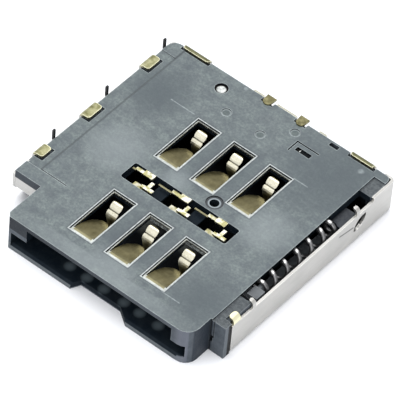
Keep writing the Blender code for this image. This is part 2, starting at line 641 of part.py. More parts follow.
def frustum(name, low, high, shrink, home):
    """A box whose top is smaller than its base."""
    item = block(name, low, high, home)
    middle = Vector(((low[0] + high[0]) / 2, (low[1] + high[1]) / 2, 0))
    for vertex in item.data.vertices:
        if vertex.co.z > (low[2] + high[2]) / 2:
            vertex.co.x += shrink if vertex.co.x < middle.x else -shrink
            vertex.co.y += shrink if vertex.co.y < middle.y else -shrink
    return item


def bent_box():
    """The cover's sheet before it is trimmed: a tray with its rim folded inwards."""
    bm = bmesh.new()
    bmesh.ops.create_cube(bm, size=1.0)
    low = (COVER_LEFT, COVER_FRONT, 0.0)
    high = (COVER_RIGHT, COVER_BACK, TAB_TOP)
    bmesh.ops.scale(bm, vec=[high[i] - low[i] for i in range(3)], verts=bm.verts)
    bmesh.ops.translate(bm, vec=[(high[i] + low[i]) / 2 for i in range(3)], verts=bm.verts)
    front = [f for f in bm.faces if f.normal.y < -0.5]
    bmesh.ops.delete(bm, geom=front, context="FACES_ONLY")
    sharp = [e for e in bm.edges if len(e.link_faces) == 2]
    bmesh.ops.bevel(bm, geom=sharp, offset=BEND, offset_type="OFFSET", segments=4, profile=0.5,
                    affect="EDGES", material=-1)
    return mesh_from("cover", bm)


def make_cover(parts, cutters, finish):
    item = link_object("cover", bent_box(), parts)
    wall = item.modifiers.new("sheet", "SOLIDIFY")
    wall.thickness = SHEET
    wall.offset = -1.0
    wall.use_even_offset = True
    cuts = helper_collection("cover_cuts", cutters)
    prism("rim_trim", trim_outline(), RIM, TAB_TOP + OVERSHOOT, cuts)
    block("corner_trim", (COVER_RIGHT - 2 * CORNER_REACH, CORNER_RIM - 0.1 * MM, HEIGHT - 0.1 * MM),
          (COVER_RIGHT + OVERSHOOT, COVER_BACK + OVERSHOOT, TAB_TOP + OVERSHOOT), cuts)
    edge = BEZEL_HALF + COVER_GAP
    block("front_trim", (-edge, COVER_FRONT - OVERSHOOT, -OVERSHOOT),
          (edge, BEZEL_BACK + COVER_GAP, 1.0 * MM), cuts)
    ear_back = LEFT_EAR_FRONT + LEFT_EAR_DEPTH
    wall_front = LEFT_EAR_FRONT + EAR_INSET
    block("left_front_trim", (COVER_LEFT + SHEET + LAP, COVER_FRONT - OVERSHOOT, -OVERSHOOT),
          (-edge + 0.1 * MM, ear_back, 1.0 * MM), cuts)
    slant = [(COVER_FRONT - OVERSHOOT, -OVERSHOOT), (ear_back + 0.2 * MM, -OVERSHOOT)]
    slant += [(ear_back, 0.0), (wall_front, 1.1 * MM)]
    slant += [(wall_front, TAB_TOP), (COVER_FRONT - OVERSHOOT, TAB_TOP)]
    prism("left_wall_front", slant, COVER_LEFT - OVERSHOOT, COVER_LEFT + SHEET + 0.05 * MM, cuts, "X")
    for centre in DETECT_FEET:
        half = FOOT_WIDTH / 2 + 0.1 * MM
        block("foot_notch", (centre - half, COVER_BACK - 2 * SHEET, RIM - 0.12 * MM),
              (centre + half, COVER_BACK + OVERSHOOT, RIM + 0.2 * MM), cuts)
    x0 = PIN_PIVOT_X - 0.45 * MM
    x1 = PIN_PIVOT_X + 0.2 * MM
    below = -OVERSHOOT
    above = 2 * SHEET
    block("leaf_slit", (x0 - LEAF_SLIT, LEAF_FRONT, below), (x0, LEAF_BACK, above), cuts)
    block("leaf_slit", (x1, LEAF_FRONT, below), (x1 + LEAF_SLIT, LEAF_BACK, above), cuts)
    block("leaf_tip", (x0 - LEAF_SLIT, LEAF_FRONT - LEAF_SLIT, below),
          (x1 + LEAF_SLIT, LEAF_FRONT + 0.05 * MM, above), cuts)
    prism("latch_window", lens_outline(), COVER_RIGHT - 2 * SHEET, COVER_RIGHT + OVERSHOOT, cuts, "X")
    adds = helper_collection("cover_adds", cutters)
    for x in (-BEAD_PLACE, BEAD_PLACE):
        half = BEAD_WIDTH / 2
        frustum("bead", (x - half, BEAD_FRONT, SHEET / 2),
                (x + half, BEAD_BACK, LIP_THICKNESS), 0.16 * MM, adds)
    flange = LEFT_EAR_FRONT + 0.05 * MM
    block("ear_flange", (COVER_LEFT + LAP, flange, 1.15 * MM),
          (-BEZEL_HALF - 2 * COVER_GAP, flange + SHEET, DECK_BOTTOM - COVER_GAP), adds)
    for start, end in BACK_RISES:
        block("back_rise", (start * MM, COVER_BACK - SHEET + 0.015 * MM, RIM - 0.3 * MM),
              (end * MM, COVER_BACK - 0.015 * MM, HEIGHT - 0.06 * MM), adds)
    for y in PRONGS:
        half = PRONG_WIDTH / 2
        block("prong", (COVER_LEFT + 0.015 * MM, y * MM - half, RIM - 0.5 * MM),
              (COVER_LEFT + SHEET - 0.015 * MM, y * MM + half, HEIGHT + PRONG_RISE), adds)
    grooves = helper_collection("bead_grooves", cutters)
    for x in (-BEAD_PLACE, BEAD_PLACE):
        half = BEAD_WIDTH / 2 - SHEET
        frustum("bead_groove", (x - half, BEAD_FRONT + SHEET, -SHEET),
                (x + half, BEAD_BACK - SHEET, LIP_THICKNESS - SHEET), 0.1 * MM, grooves)
    boolean(item, "DIFFERENCE", cuts)
    boolean(item, "UNION", adds)
    boolean(item, "DIFFERENCE", grooves)
    item.data.materials.append(finish)
    return item


def beam_profile():
    """Side view of a spring arm's upper face, as (y, depth below the solder face, half width).

    The arm leaves its root at full width, runs down to a narrow neck, turns under the dome that
    presses on the card, and comes up again as two rounded lobes with a crease between them.
    """
    root = -WINDOW_LENGTH / 2 + ROOT_REVEAL
    wide = WINDOW_WIDTH / 2 - FRAME_REVEAL - 0.05 * MM
    top = STRIP_DEPTH
    low = ARM_DEPTH_LOW
    run = [(root - 0.12 * MM, top, wide), (root, top, wide), (root + 0.12 * MM, top + 0.03 * MM, wide)]
    shape = [(-0.95, 0.2, 1.0), (-0.5, 0.31, 0.93), (-0.2, 0.39, 0.78), (0.05, 0.47, 0.55)]
    shape += [(0.22, 0.53, 0.34), (0.33, 0.61, 0.22), (0.42, 0.8, 0.18), (0.48, 0.95, 0.18)]
    shape += [(0.53, 1.0, 0.18), (0.58, 0.99, 0.19), (0.62, 0.86, 0.24), (0.66, 0.64, 0.4)]
    shape += [(0.7, 0.5, 0.5), (0.76, 0.42, 0.53), (0.84, 0.37, 0.54), (0.91, 0.33, 0.52)]
    shape += [(0.95, 0.335, 0.43), (0.99, 0.29, 0.5), (1.06, 0.24, 0.54), (1.16, 0.18, 0.55)]
    shape += [(1.26, 0.12, 0.53), (1.33, 0.09, 0.44), (1.37, 0.07, 0.28)]
    return run + [(y * MM, low * depth, wide * width) for y, depth, width in shape]


def make_beam(name, home, column, row):
    """The arm as a strip of quads along its profile, given its thickness downwards."""
    bm = bmesh.new()
    previous = None
    for y, depth, half in beam_profile():
        z = HEIGHT - depth
        pair = [bm.verts.new((column - half, row + y, z)), bm.verts.new((column + half, row + y, z))]
        if previous:
            bm.faces.new((previous[0], previous[1], pair[1], pair[0]))
        previous = pair
    bmesh.ops.recalc_face_normals(bm, faces=bm.faces)
    if sum(f.normal.z for f in bm.faces) < 0:
        bmesh.ops.reverse_faces(bm, faces=bm.faces)
    mesh = bpy.data.meshes.new(name)
    bm.to_mesh(mesh)
    bm.free()
    item = link_object(name, mesh, home)
    wall = item.modifiers.new("strip", "SOLIDIFY")
    wall.thickness = ARM_THICKNESS
    wall.offset = -1.0
    return item


def add_upper_tail(home, column):
    """A back row contact's way to its solder foot, in the tail slot."""
    start, end = tail_reach(ROWS[1])
    block("tail_strip", (column - TAIL_HALF, start, STRIP_BOTTOM),
          (column + TAIL_HALF, end, STRIP_TOP), home)
    block("tail_riser", (column - TAIL_HALF + 0.01 * MM, start, STRIP_BOTTOM + 0.01 * MM),
          (column + TAIL_HALF - 0.01 * MM, start + STRIP, FOOT_TOP - 0.01 * MM), home)
    block("tail_foot", (column - 0.36 * MM, start - 0.26 * MM, FOOT_TOP - STRIP),
          (column + 0.3 * MM, start + STRIP - 0.01 * MM, FOOT_TOP), home)
    block("tail_wing", (column - 1.0 * MM, start - 0.08 * MM, STRIP_BOTTOM + 0.02 * MM),
          (column - TAIL_HALF + 0.1 * MM, start + 0.14 * MM, STRIP_TOP - 0.02 * MM), home)
    tie_left = max(column - 1.85 * MM, TAIL_SLOT_LEFT + 0.06 * MM)
    block("tie_bar", (tie_left, start - 0.16 * MM, STRIP_BOTTOM + 0.03 * MM),
          (column - 0.93 * MM, start - 0.05 * MM, STRIP_TOP - 0.01 * MM), home)


def add_lower_tail(home, column):
    """A front row contact's way to its solder foot, which stands beside its strip."""
    start, end = tail_reach(ROWS[0])
    edge = end - STRIP
    block("tail_strip", (column - TAIL_HALF, start, STRIP_BOTTOM),
          (column + TAIL_HALF, end, STRIP_TOP), home)
    block("tail_pad", (column - 0.38 * MM, edge - 0.03 * MM, STRIP_BOTTOM + 0.01 * MM),
          (column + 0.22 * MM, end + 0.13 * MM, STRIP_TOP + 0.02 * MM), home)
    block("foot_riser", (column + 0.12 * MM, edge + 0.01 * MM, STRIP_BOTTOM + 0.03 * MM),
          (column + 0.4 * MM, end + 0.09 * MM, FOOT_TOP - 0.01 * MM), home)
    block("solder_foot", (column + 0.27 * MM, edge, FOOT_TOP - STRIP),
          (column + 0.93 * MM, end + 0.11 * MM, FOOT_TOP), home)
    block("foot_link", (column + 0.4 * MM, end, FOOT_TOP - STRIP - 0.02 * MM),
          (column + 0.62 * MM, end + 0.56 * MM, FOOT_TOP - 0.02 * MM), home)


def make_contact(name, parts, cutters, finish, column, row):
    """One stamped contact: the frame that the housing grips, its arm and its tail."""
    front, back = frame_reach(row)
    item = block(name, (column - FRAME_HALF, front, STRIP_BOTTOM),
                 (column + FRAME_HALF, back, STRIP_TOP), parts)
    hole = helper_collection(name + "_hole", cutters)
    x0, y0, x1, y1 = window_box(column, row)
    block("frame_opening", (x0 + FRAME_REVEAL, y0 + ROOT_REVEAL, STRIP_BOTTOM - OVERSHOOT),
          (x1 - FRAME_REVEAL, y1 - FRAME_REVEAL, STRIP_TOP + OVERSHOOT), hole)
    boolean(item, "DIFFERENCE", hole)
    adds = helper_collection(name + "_adds", cutters)
    make_beam("arm", adds, column, row)
    if row > 0:
        add_upper_tail(adds, column)
    else:
        add_lower_tail(adds, column)
    boolean(item, "UNION", adds)
    item.data.materials.append(finish)
    return item


def make_slider(parts, cutters, finish):
    """The card's sled: a bar with the arm that the card pushes and the spring's seat."""
    right = HOUSING_RIGHT - SLIDER_FIT
    item = block("slider", (SLIDER_LEFT, SLIDER_FRONT, SLIDER_BOTTOM),
                 (right, SLIDER_BACK, SLIDER_TOP), parts)
    adds = helper_collection("slider_adds", cutters)
    block("push_arm", (ARM_TIP, ARM_FRONT, SLIDER_BOTTOM + 0.01 * MM),
          (SLIDER_LEFT + 0.2 * MM, ARM_FRONT + ARM_DEPTH, SLIDER_TOP - 0.01 * MM), adds)
    seat_top = HEIGHT - SEAT_COVER
    block("spring_seat", (SLIDER_LEFT + 0.06 * MM, SLIDER_FRONT + 0.01 * MM, SLIDER_TOP - 0.1 * MM),
          (right - 0.01 * MM, SLIDER_FRONT + SEAT_DEPTH, DECK_BOTTOM - SLIDER_FIT), adds)
    block("seat_head", (SLOT_EDGE + SLIDER_FIT, SLIDER_FRONT + LAP, DECK_BOTTOM - 0.2 * MM),
          (right - LAP, SLIDER_FRONT + SEAT_DEPTH - 0.01 * MM, seat_top), adds)
    back = SLIDER_FRONT + SEAT_DEPTH
    drum("seat_spigot", (SPRING_AXIS_X, SPRING_AXIS_Z), SPIGOT, back - 0.1 * MM,
         back + SPIGOT_REACH, adds, 12, "Y")
    boolean(item, "UNION", adds)
    cuts = helper_collection("slider_cuts", cutters)
    add_heart_track(cuts)
    boolean(item, "DIFFERENCE", cuts)
    item.data.materials.append(finish)
    return item


def add_heart_track(home):
    """The latch track in the sled's underside: a loop of two lanes round a heart-shaped island.

    The pin's tip stands at the loop's back end while the card is out. It runs forwards along
    the straight lane as the card goes in, drops into the island's notch when the card is let
    go, and comes back along the other lane after the second push.
    """
    low = SLIDER_BOTTOM - OVERSHOOT
    high = SLIDER_BOTTOM + CAM_DEPTH
    right = PIN_PIVOT_X + LANE / 2
    left = right - 2 * LANE - ISLAND_WIDTH
    back = PIN_TIP_Y + LANE * 0.62
    front = back - SLIDER_TRAVEL - LANE * 1.3
    island_back = back - LANE * 1.6
    island_front = front + LANE * 2.2
    block("straight_lane", (right - LANE, front, low), (right, back, high), home)
    block("return_lane", (left, front + 0.01 * MM, low), (left + LANE, back - 0.01 * MM, high), home)
    block("back_crossing", (left + 0.01 * MM, island_back, low),
          (right - 0.01 * MM, back - 0.02 * MM, high), home)
    notch = ISLAND_WIDTH * 0.75
    outline = [(left + 0.01 * MM, front + 0.02 * MM), (right - 0.01 * MM, front + 0.02 * MM)]
    outline += [(right - 0.01 * MM, island_front - notch), (right - LANE + LAP, island_front - notch)]
    outline += [((left + right) / 2, island_front)]
    shoulder = island_front - notch * 0.6
    outline += [(left + LANE - LAP, shoulder), (left + 0.01 * MM, shoulder)]
    prism("front_crossing", outline, low, high, home)


def wire(name, points, thickness, parts, finish, resolution=2):
    """A round wire along a list of points."""
    path = bpy.data.curves.new(name, "CURVE")
    path.dimensions = "3D"
    path.bevel_depth = thickness / 2
    path.bevel_resolution = resolution
    path.use_fill_caps = True
    line = path.splines.new("POLY")
    line.points.add(len(points) - 1)
    for point, place in zip(line.points, points):
        point.co = (*place, 1.0)
    item = bpy.data.objects.new(name, path)
    parts.objects.link(item)
    path.materials.append(finish)
    return item


def make_spring(parts, finish):
    """The return spring: open coils between a closed turn at each end."""
    radius = (SPRING_OUTER - SPRING_WIRE) / 2
    start = SLIDER_FRONT + SEAT_DEPTH + SPRING_WIRE / 2 + LAP
    end = POST_FRONT - SPRING_WIRE / 2 - LAP
    closed = SPRING_WIRE * 1.06
    steps = 18
    total = SPRING_COILS + 2
    count = round(total * steps)
    points = []
    for i in range(count + 1):
        turn = i / steps
        if turn <= 1:
            y = start + closed * turn
        elif turn >= total - 1:
            y = end - closed * (total - turn)
        else:
            share = (turn - 1) / (total - 2)
            y = start + closed + (end - start - 2 * closed) * share
        angle = 2 * pi * (turn + SPRING_PHASE) + pi / 2
        points.append((SPRING_AXIS_X + radius * cos(angle), y, SPRING_AXIS_Z + radius * sin(angle)))
    return wire("spring", points, SPRING_WIRE, parts, finish)


def make_cam_pin(parts, finish):
    """The latch pin: a wire with both ends turned up, one in the housing, one in the track."""
    floor = SHEET + 0.03 * MM + PIN_WIRE / 2
    top = SLIDER_BOTTOM + CAM_DEPTH - 0.08 * MM
    bend = PIN_WIRE * 0.8
    x = PIN_PIVOT_X
    points = [(x, PIN_PIVOT_Y, top)]
    points += [(x, y, z) for y, z in arc((PIN_PIVOT_Y - bend, floor + bend), bend, 0, -90, 4)]
    points += [(x, y, z) for y, z in arc((PIN_TIP_Y + bend, floor + bend), bend, -90, -180, 4)]
    points += [(x, PIN_TIP_Y, top)]
    return wire("cam_pin", points, PIN_WIRE, parts, finish)


def add_neck(home, low, high):
    """A neck that is a little thinner than its plate, so the two never share a face."""
    thinner = 0.005 * MM
    block("neck", (low[0], low[1], low[2] + thinner), (high[0], high[1], high[2] - thinner), home)


def add_foot(home, centre):
    """A switch terminal's foot: up from its neck and out over the back edge."""
    half = FOOT_WIDTH / 2
    back = FOOT_RISER
    bottom = STRIP_TOP - DETECT_STRIP + 0.01 * MM
    block("foot_riser", (centre - half + 0.09 * MM, back - DETECT_STRIP, bottom),
          (centre + half - 0.09 * MM, back, FOOT_TOP - 0.01 * MM), home)
    r = FOOT_WIDTH / 2 - LAP
    outline = arc((centre, back - 0.12 * MM + r * 0.4), r, 200, 340, 6)
    outline += [(centre + half, COVER_BACK + 0.08 * MM), (centre - half, COVER_BACK + 0.08 * MM)]
    prism("foot", outline, FOOT_TOP - STRIP, FOOT_TOP, home)


def make_detect_contact(parts, cutters, finish):
    """The switch's fixed side."""
    low, high = detect_plates()[0]
    item = block("detect_contact", low, high, parts)
    adds = helper_collection("detect_contact_adds", cutters)
    block("leg", *detect_legs()[0], adds)
    low, high = detect_necks()[0]
    add_neck(adds, low, high)
    add_foot(adds, DETECT_FEET[0])
    boolean(item, "UNION", adds)
    item.data.materials.append(finish)
    return item


def make_detect_blade(parts, cutters, finish):
    """The switch's moving side: a bowed blade that the card's edge pushes back."""
    low, high = detect_plates()[1]
    item = block("detect_blade", low, high, parts)
    adds = helper_collection("detect_blade_adds", cutters)
    leg_low, leg_high = detect_legs()[1]
    block("leg", leg_low, leg_high, adds)
    low, high = detect_necks()[1]
    add_neck(adds, low, high)
    add_foot(adds, DETECT_FEET[1])
    bm = bmesh.new()
    start = (leg_low[0] + 0.2 * MM, leg_low[1] + 0.01 * MM)
    path = [start, (leg_low[0] - 0.1 * MM, start[1])]
    path += arc((BLADE_CENTRE, LEG_BACK + 1.55 * MM), BLADE_RADIUS, -50, -110, 8)
    path += [(-3.3 * MM, LEG_BACK - 0.7 * MM), (-4.0 * MM, LEG_BACK - 0.35 * MM)]
    bottom = leg_low[2] + 0.05 * MM
    top = bottom + BLADE_HEIGHT
    previous = None
    for x, y in path:
        pair = [bm.verts.new((x, y, bottom)), bm.verts.new((x, y, top))]
        if previous:
            bm.faces.new((previous[0], pair[0], pair[1], previous[1]))
        previous = pair
    mesh = mesh_from("blade_strip", bm)
    strip = link_object("blade_strip", mesh, adds)
    wall = strip.modifiers.new("strip", "SOLIDIFY")
    wall.thickness = DETECT_STRIP - 0.02 * MM
    wall.offset = 0.0
    wall.use_even_offset = True
    boolean(item, "UNION", adds)
    item.data.materials.append(finish)
    return item


def hide_helpers(group):
    for item in group.all_objects:
        item.hide_render = True
        item.display_type = "WIRE"


def main():
    clear_scene()
    parts = new_collection("sim_card_socket")
    cutters = new_collection("cutters")
    black = material("moulded_black", (0.045, 0.05, 0.056), 0.5, 0.0)
    sled = material("moulded_sled", (0.06, 0.065, 0.07), 0.5, 0.0)
    steel = material("plated_steel", (0.72, 0.72, 0.7), 0.3, 1.0)
    gold = material("gold_plate", (0.83, 0.72, 0.45), 0.3, 1.0)
    wire_steel = material("spring_steel", (0.6, 0.6, 0.6), 0.3, 1.0)
    make_housing(parts, cutters, black)
    make_cover(parts, cutters, steel)
    names = ("contact_front_left", "contact_front_middle", "contact_front_right")
    for name, column in zip(names, COLUMN_PLACES):
        make_contact(name, parts, cutters, gold, column, ROWS[0])
    names = ("contact_back_left", "contact_back_middle", "contact_back_right")
    for name, column in zip(names, COLUMN_PLACES):
        make_contact(name, parts, cutters, gold, column, ROWS[1])
    make_slider(parts, cutters, sled)
    make_spring(parts, wire_steel)
    make_cam_pin(parts, wire_steel)
    make_detect_contact(parts, cutters, gold)
    make_detect_blade(parts, cutters, gold)
    hide_helpers(cutters)


main()
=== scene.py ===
# %% [markdown]
# # A push-push SIM card socket
# The part comes from CAD as separate solids in metres, and they already have the socket's forms.
# Here each solid gets a finish of its own and most of them soft edges, the coil spring gets a
# smoother copy, and a camera, a floor and soft light are set up round them. The socket is drawn
# lying on its metal cover with the solder face up, which is how it was photographed.

from math import cos, radians, sin

import bmesh
import bpy
from mathutils import Matrix, Vector


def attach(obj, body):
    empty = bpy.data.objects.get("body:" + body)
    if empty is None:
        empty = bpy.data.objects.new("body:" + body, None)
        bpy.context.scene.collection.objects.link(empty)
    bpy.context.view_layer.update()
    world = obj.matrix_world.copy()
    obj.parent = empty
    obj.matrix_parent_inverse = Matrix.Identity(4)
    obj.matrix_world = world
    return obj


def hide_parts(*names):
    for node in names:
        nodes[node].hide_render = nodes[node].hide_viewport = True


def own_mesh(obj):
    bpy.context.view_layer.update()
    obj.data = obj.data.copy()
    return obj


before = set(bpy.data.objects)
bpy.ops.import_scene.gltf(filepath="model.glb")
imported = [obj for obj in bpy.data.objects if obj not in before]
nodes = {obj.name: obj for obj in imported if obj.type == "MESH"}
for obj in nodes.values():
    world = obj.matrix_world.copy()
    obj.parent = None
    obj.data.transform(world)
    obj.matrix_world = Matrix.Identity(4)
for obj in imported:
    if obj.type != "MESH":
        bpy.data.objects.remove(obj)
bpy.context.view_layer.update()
MM = 0.001


def in_mm(lengths):
    """Lengths in metres as millimetres, short enough to print."""
    return [round(length / MM, 2) for length in lengths]


print("pieces from CAD:", sorted(nodes))

# %% [markdown]
# ## Camera
# The photo was taken with a long lens from the front right, looking down at about 48 degrees. A
# Track To constraint could aim a camera at the socket, but it can't give the photo's slight roll,
# so the camera's matrix is built from its own three axes. The numbers were found by fitting the
# windows and the outline: an azimuth, an elevation, a roll and a distance from a point on the
# solder face.

# %% Camera
AZIMUTH = radians(35.3015)
ELEVATION = radians(47.5534)
ROLL = radians(5.6217)
DISTANCE = 243.9583 * MM
TARGET = Vector((0.5793, 0.8705, 2.5)) * MM
FOCAL_LENGTH = 405.0
SENSOR_WIDTH = 36.0
NEAREST, FARTHEST = 0.01, 5.0

right = Vector((cos(AZIMUTH), sin(AZIMUTH), 0))
back = Vector((sin(AZIMUTH) * cos(ELEVATION), -cos(AZIMUTH) * cos(ELEVATION), sin(ELEVATION)))
up = back.cross(right)
rolled_right = right * cos(ROLL) + up * sin(ROLL)
rolled_up = up * cos(ROLL) - right * sin(ROLL)

lens = bpy.data.cameras.new("photo_camera")
lens.lens = FOCAL_LENGTH
lens.sensor_width = SENSOR_WIDTH
lens.sensor_fit = "HORIZONTAL"
lens.clip_start = NEAREST
lens.clip_end = FARTHEST
camera = bpy.data.objects.new("photo_camera", lens)
turn = Matrix((rolled_right, rolled_up, back)).transposed().to_4x4()
camera.matrix_world = Matrix.Translation(TARGET + back * DISTANCE) @ turn
bpy.context.scene.collection.objects.link(camera)
bpy.context.scene.camera = camera
print("camera stands at", in_mm(camera.matrix_world.translation), "mm")

# %% [markdown]
# ## Joining nodes
# A node tree can be wired socket by socket, but the world and every finish below need the same
# few steps again and again. Each helper makes one small step and returns its output, so that a
# recipe reads like a sum. A mask is a value that runs from 0 to 1: two masks multiplied are their
# overlap, and the larger of two is both together.

# %% Joining helpers
def start_material(name):
    made = bpy.data.materials.new(name)
    made.use_nodes = True
    return made, made.node_tree, made.node_tree.nodes["Principled BSDF"]


def put(tree, target, value):
    """Links an output to an input, or writes a plain number or colour there."""
    if isinstance(value, bpy.types.NodeSocket):
        tree.links.new(value, target)
    else:
        target.default_value = value


def maths(tree, operation, first, second=0.0):
    step = tree.nodes.new("ShaderNodeMath")
    step.operation = operation
    put(tree, step.inputs[0], first)
    put(tree, step.inputs[1], second)
    return step.outputs[0]


def all_of(tree, *masks):
    found = masks[0]
    for mask in masks[1:]:
        found = maths(tree, "MULTIPLY", found, mask)
    return found


def any_of(tree, *masks):
    found = masks[0]
    for mask in masks[1:]:
        found = maths(tree, "MAXIMUM", found, mask)
    return found


def inverse(tree, mask):
    return maths(tree, "SUBTRACT", 1.0, mask)


# %% [markdown]
# ## Backdrop and view
# The photo has a plain white ground. A brighter world would whiten it too, but it would wash the
# socket out. So the world is white only to the camera, to reflections and to rays that pass
# through glass, and a cool grey to everything else. The Standard view shows colours as written.

# %% World and view
SKY_COLOUR, SKY_STRENGTH = (0.9, 0.93, 1.0), 0.85
GROUND_COLOUR, GROUND_STRENGTH = (1, 1, 1), 1.0


def backdrop(tree, colour, strength):
    glow = tree.nodes.new("ShaderNodeBackground")
    glow.inputs["Color"].default_value = (*colour, 1)
    glow.inputs["Strength"].default_value = strength
    return glow.outputs[0]


scene = bpy.context.scene
scene.view_settings.view_transform = "Standard"
world = bpy.data.worlds.new("studio")
world.use_nodes = True
scene.world = world
tree = world.node_tree
tree.nodes.clear()
rays = tree.nodes.new("ShaderNodeLightPath").outputs
seen = any_of(tree, rays["Is Camera Ray"], rays["Is Glossy Ray"], rays["Is Transmission Ray"])
choose = tree.nodes.new("ShaderNodeMixShader")
put(tree, choose.inputs["Fac"], seen)
put(tree, choose.inputs[1], backdrop(tree, SKY_COLOUR, SKY_STRENGTH))
put(tree, choose.inputs[2], backdrop(tree, GROUND_COLOUR, GROUND_STRENGTH))
out = tree.nodes.new("ShaderNodeOutputWorld")
put(tree, out.inputs["Surface"], choose.outputs[0])
print("world lights the socket at", SKY_STRENGTH, "and shows white at", GROUND_STRENGTH)

# %% [markdown]
# ## Floor
# A wide, pale sheet of matt paper lies just under the socket. A curved studio sweep would do as
# well, but the floor only catches the soft shadow, so it is one flat grid with the plainest finish.

# %% Floor
FLOOR_REACH = 0.4
FLOOR_DROP = 0.02 * MM
PAPER_WHITE = (0.94, 0.94, 0.94)

bm = bmesh.new()
bmesh.ops.create_grid(bm, x_segments=1, y_segments=1, size=FLOOR_REACH)
bmesh.ops.translate(bm, vec=(0, 0, -FLOOR_DROP), verts=bm.verts)
mesh = bpy.data.meshes.new("floor")
bm.to_mesh(mesh)
bm.free()
floor = bpy.data.objects.new("floor", mesh)
scene.collection.objects.link(floor)
paper, tree, shader = start_material("white_paper")
shader.inputs["Base Color"].default_value = (*PAPER_WHITE, 1)
shader.inputs["Roughness"].default_value = 0.9
shader.inputs["Specular IOR Level"].default_value = 0.1
mesh.materials.append(paper)
floor_edge = max(vertex.co.x for vertex in mesh.vertices)
print("floor reaches", round(floor_edge, 2), "m to each side of the socket")

# %% [markdown]
# ## Lamps
# The photo has no hard shadow: its light comes from a large softbox above the socket. A sun lamp
# would cut a sharp shadow, so two wide disks are used. The key hangs overhead, and a weaker fill
# from the front right opens up the walls that face us. Both aim at the socket, at the origin.

# %% Lamps
def soft_lamp(name, place, width, power):
    light = bpy.data.lights.new(name, "AREA")
    light.shape = "DISK"
    light.size = width
    light.energy = power
    lamp = bpy.data.objects.new(name, light)
    scene.collection.objects.link(lamp)
    lamp.location = place
    lamp.rotation_euler = (-Vector(place)).to_track_quat("-Z", "Y").to_euler()
    print(name, "lamp at", place, "m,", width, "m wide,", power, "W")


soft_lamp("key", place=(-0.12, 0.02, 0.5), width=0.5, power=2.2)
soft_lamp("fill", place=(0.2, -0.35, 0.3), width=0.4, power=0.9)

# %% [markdown]
# ## Places in millimetres
# A pattern could be an image, but that needs an unwrapped mesh and goes soft close up. Here every
# finish is worked out from where a point lies on the part, which Object coordinates give. The
# solids are in metres, so the coordinates are multiplied by 1000, and each number in a finish is
# then a plain millimetre.

# %% Place helpers
def spread(tree, value, low, high, to_low=0.0, to_high=1.0):
    """Stretches the part of a value between low and high to a new span."""
    span = tree.nodes.new("ShaderNodeMapRange")
    put(tree, span.inputs["Value"], value)
    span.inputs["From Min"].default_value = low
    span.inputs["From Max"].default_value = high
    span.inputs["To Min"].default_value = to_low
    span.inputs["To Max"].default_value = to_high
    return span.outputs[0]


def place_in_mm(tree):
    """The shading point's place in millimetres: the vector and its three parts."""
    coordinates = tree.nodes.new("ShaderNodeTexCoord")
    scale = tree.nodes.new("ShaderNodeVectorMath")
    scale.operation = "SCALE"
    scale.inputs["Scale"].default_value = 1000
    tree.links.new(coordinates.outputs["Object"], scale.inputs[0])
    parts = tree.nodes.new("ShaderNodeSeparateXYZ")
    tree.links.new(scale.outputs[0], parts.inputs[0])
    return scale.outputs[0], parts.outputs[0], parts.outputs[1], parts.outputs[2]


def facing_up(tree):
    """1 on faces that look along +Z, 0 on walls and undersides."""
    geometry = tree.nodes.new("ShaderNodeNewGeometry")
    parts = tree.nodes.new("ShaderNodeSeparateXYZ")
    tree.links.new(geometry.outputs["True Normal"], parts.inputs[0])
    # The normal's height is 1 on a level face and 0 on a wall
    return spread(tree, parts.outputs[2], 0.55, 0.8)


# %% [markdown]
# ## Masks from places
# Most marks on the socket are boxes, discs, rings and thin lines in known places. Separate
# materials for them would need small faces cut into the solids. A mask marks the same place
# without touching the mesh, and its soft edge keeps it from looking jagged.

# %% Mask helpers
def between(tree, value, low, high, soft=0.02):
    """1 where a value lies between low and high, falling to 0 over a soft edge."""
    rise = spread(tree, value, low - soft, low + soft)
    fall = spread(tree, value, high - soft, high + soft, 1, 0)
    return maths(tree, "MULTIPLY", rise, fall)


def zone(tree, *limits):
    """1 inside every limit. A limit is a value, its low and high end, and maybe a softness."""
    return all_of(tree, *[between(tree, *limit) for limit in limits])


def line(tree, value, place, width):
    """A thin line where a value passes a place."""
    return between(tree, value, place - width / 2, place + width / 2, width / 3)


def distance_squared(tree, x, y, centre):
    across = maths(tree, "POWER", maths(tree, "SUBTRACT", x, centre[0]), 2)
    along = maths(tree, "POWER", maths(tree, "SUBTRACT", y, centre[1]), 2)
    return maths(tree, "ADD", across, along)


def patch(tree, x, y, centre, radius):
    """A soft round patch on the face: 1 in its middle, 0 at its radius."""
    return spread(tree, distance_squared(tree, x, y, centre), 0.0, radius * radius, 1, 0)


def ring_mark(tree, x, y, centre, inner, outer):
    """A flat ring on the face, between two radii round a centre."""
    away = maths(tree, "SQRT", distance_squared(tree, x, y, centre))
    return between(tree, away, inner, outer, 0.025)


# %% [markdown]
# ## Noise and paint
# Moulded plastic and rolled metal are never one even colour. Noise gives the unevenness, and a
# stretched noise becomes streaks. Paint lays one colour over another where a mask says so, from
# the ground up, which is easier to change than one large sum of colours.

# %% Noise and paint helpers
def noise(tree, vector, scale, detail=2.0, roughness=0.5, low=0.3, high=0.7):
    """A noise with about `scale` lumps in each millimetre, stretched to run from 0 to 1."""
    cloud = tree.nodes.new("ShaderNodeTexNoise")
    cloud.inputs["Scale"].default_value = scale
    cloud.inputs["Detail"].default_value = detail
    cloud.inputs["Roughness"].default_value = roughness
    tree.links.new(vector, cloud.inputs["Vector"])
    return spread(tree, cloud.outputs["Fac"], low, high)


def stretched(tree, vector, x=1.0, y=1.0, z=1.0):
    """The same place with its axes scaled, so that a noise on it becomes streaks."""
    mapping = tree.nodes.new("ShaderNodeMapping")
    mapping.inputs["Scale"].default_value = (x, y, z)
    tree.links.new(vector, mapping.inputs["Vector"])
    return mapping.outputs[0]


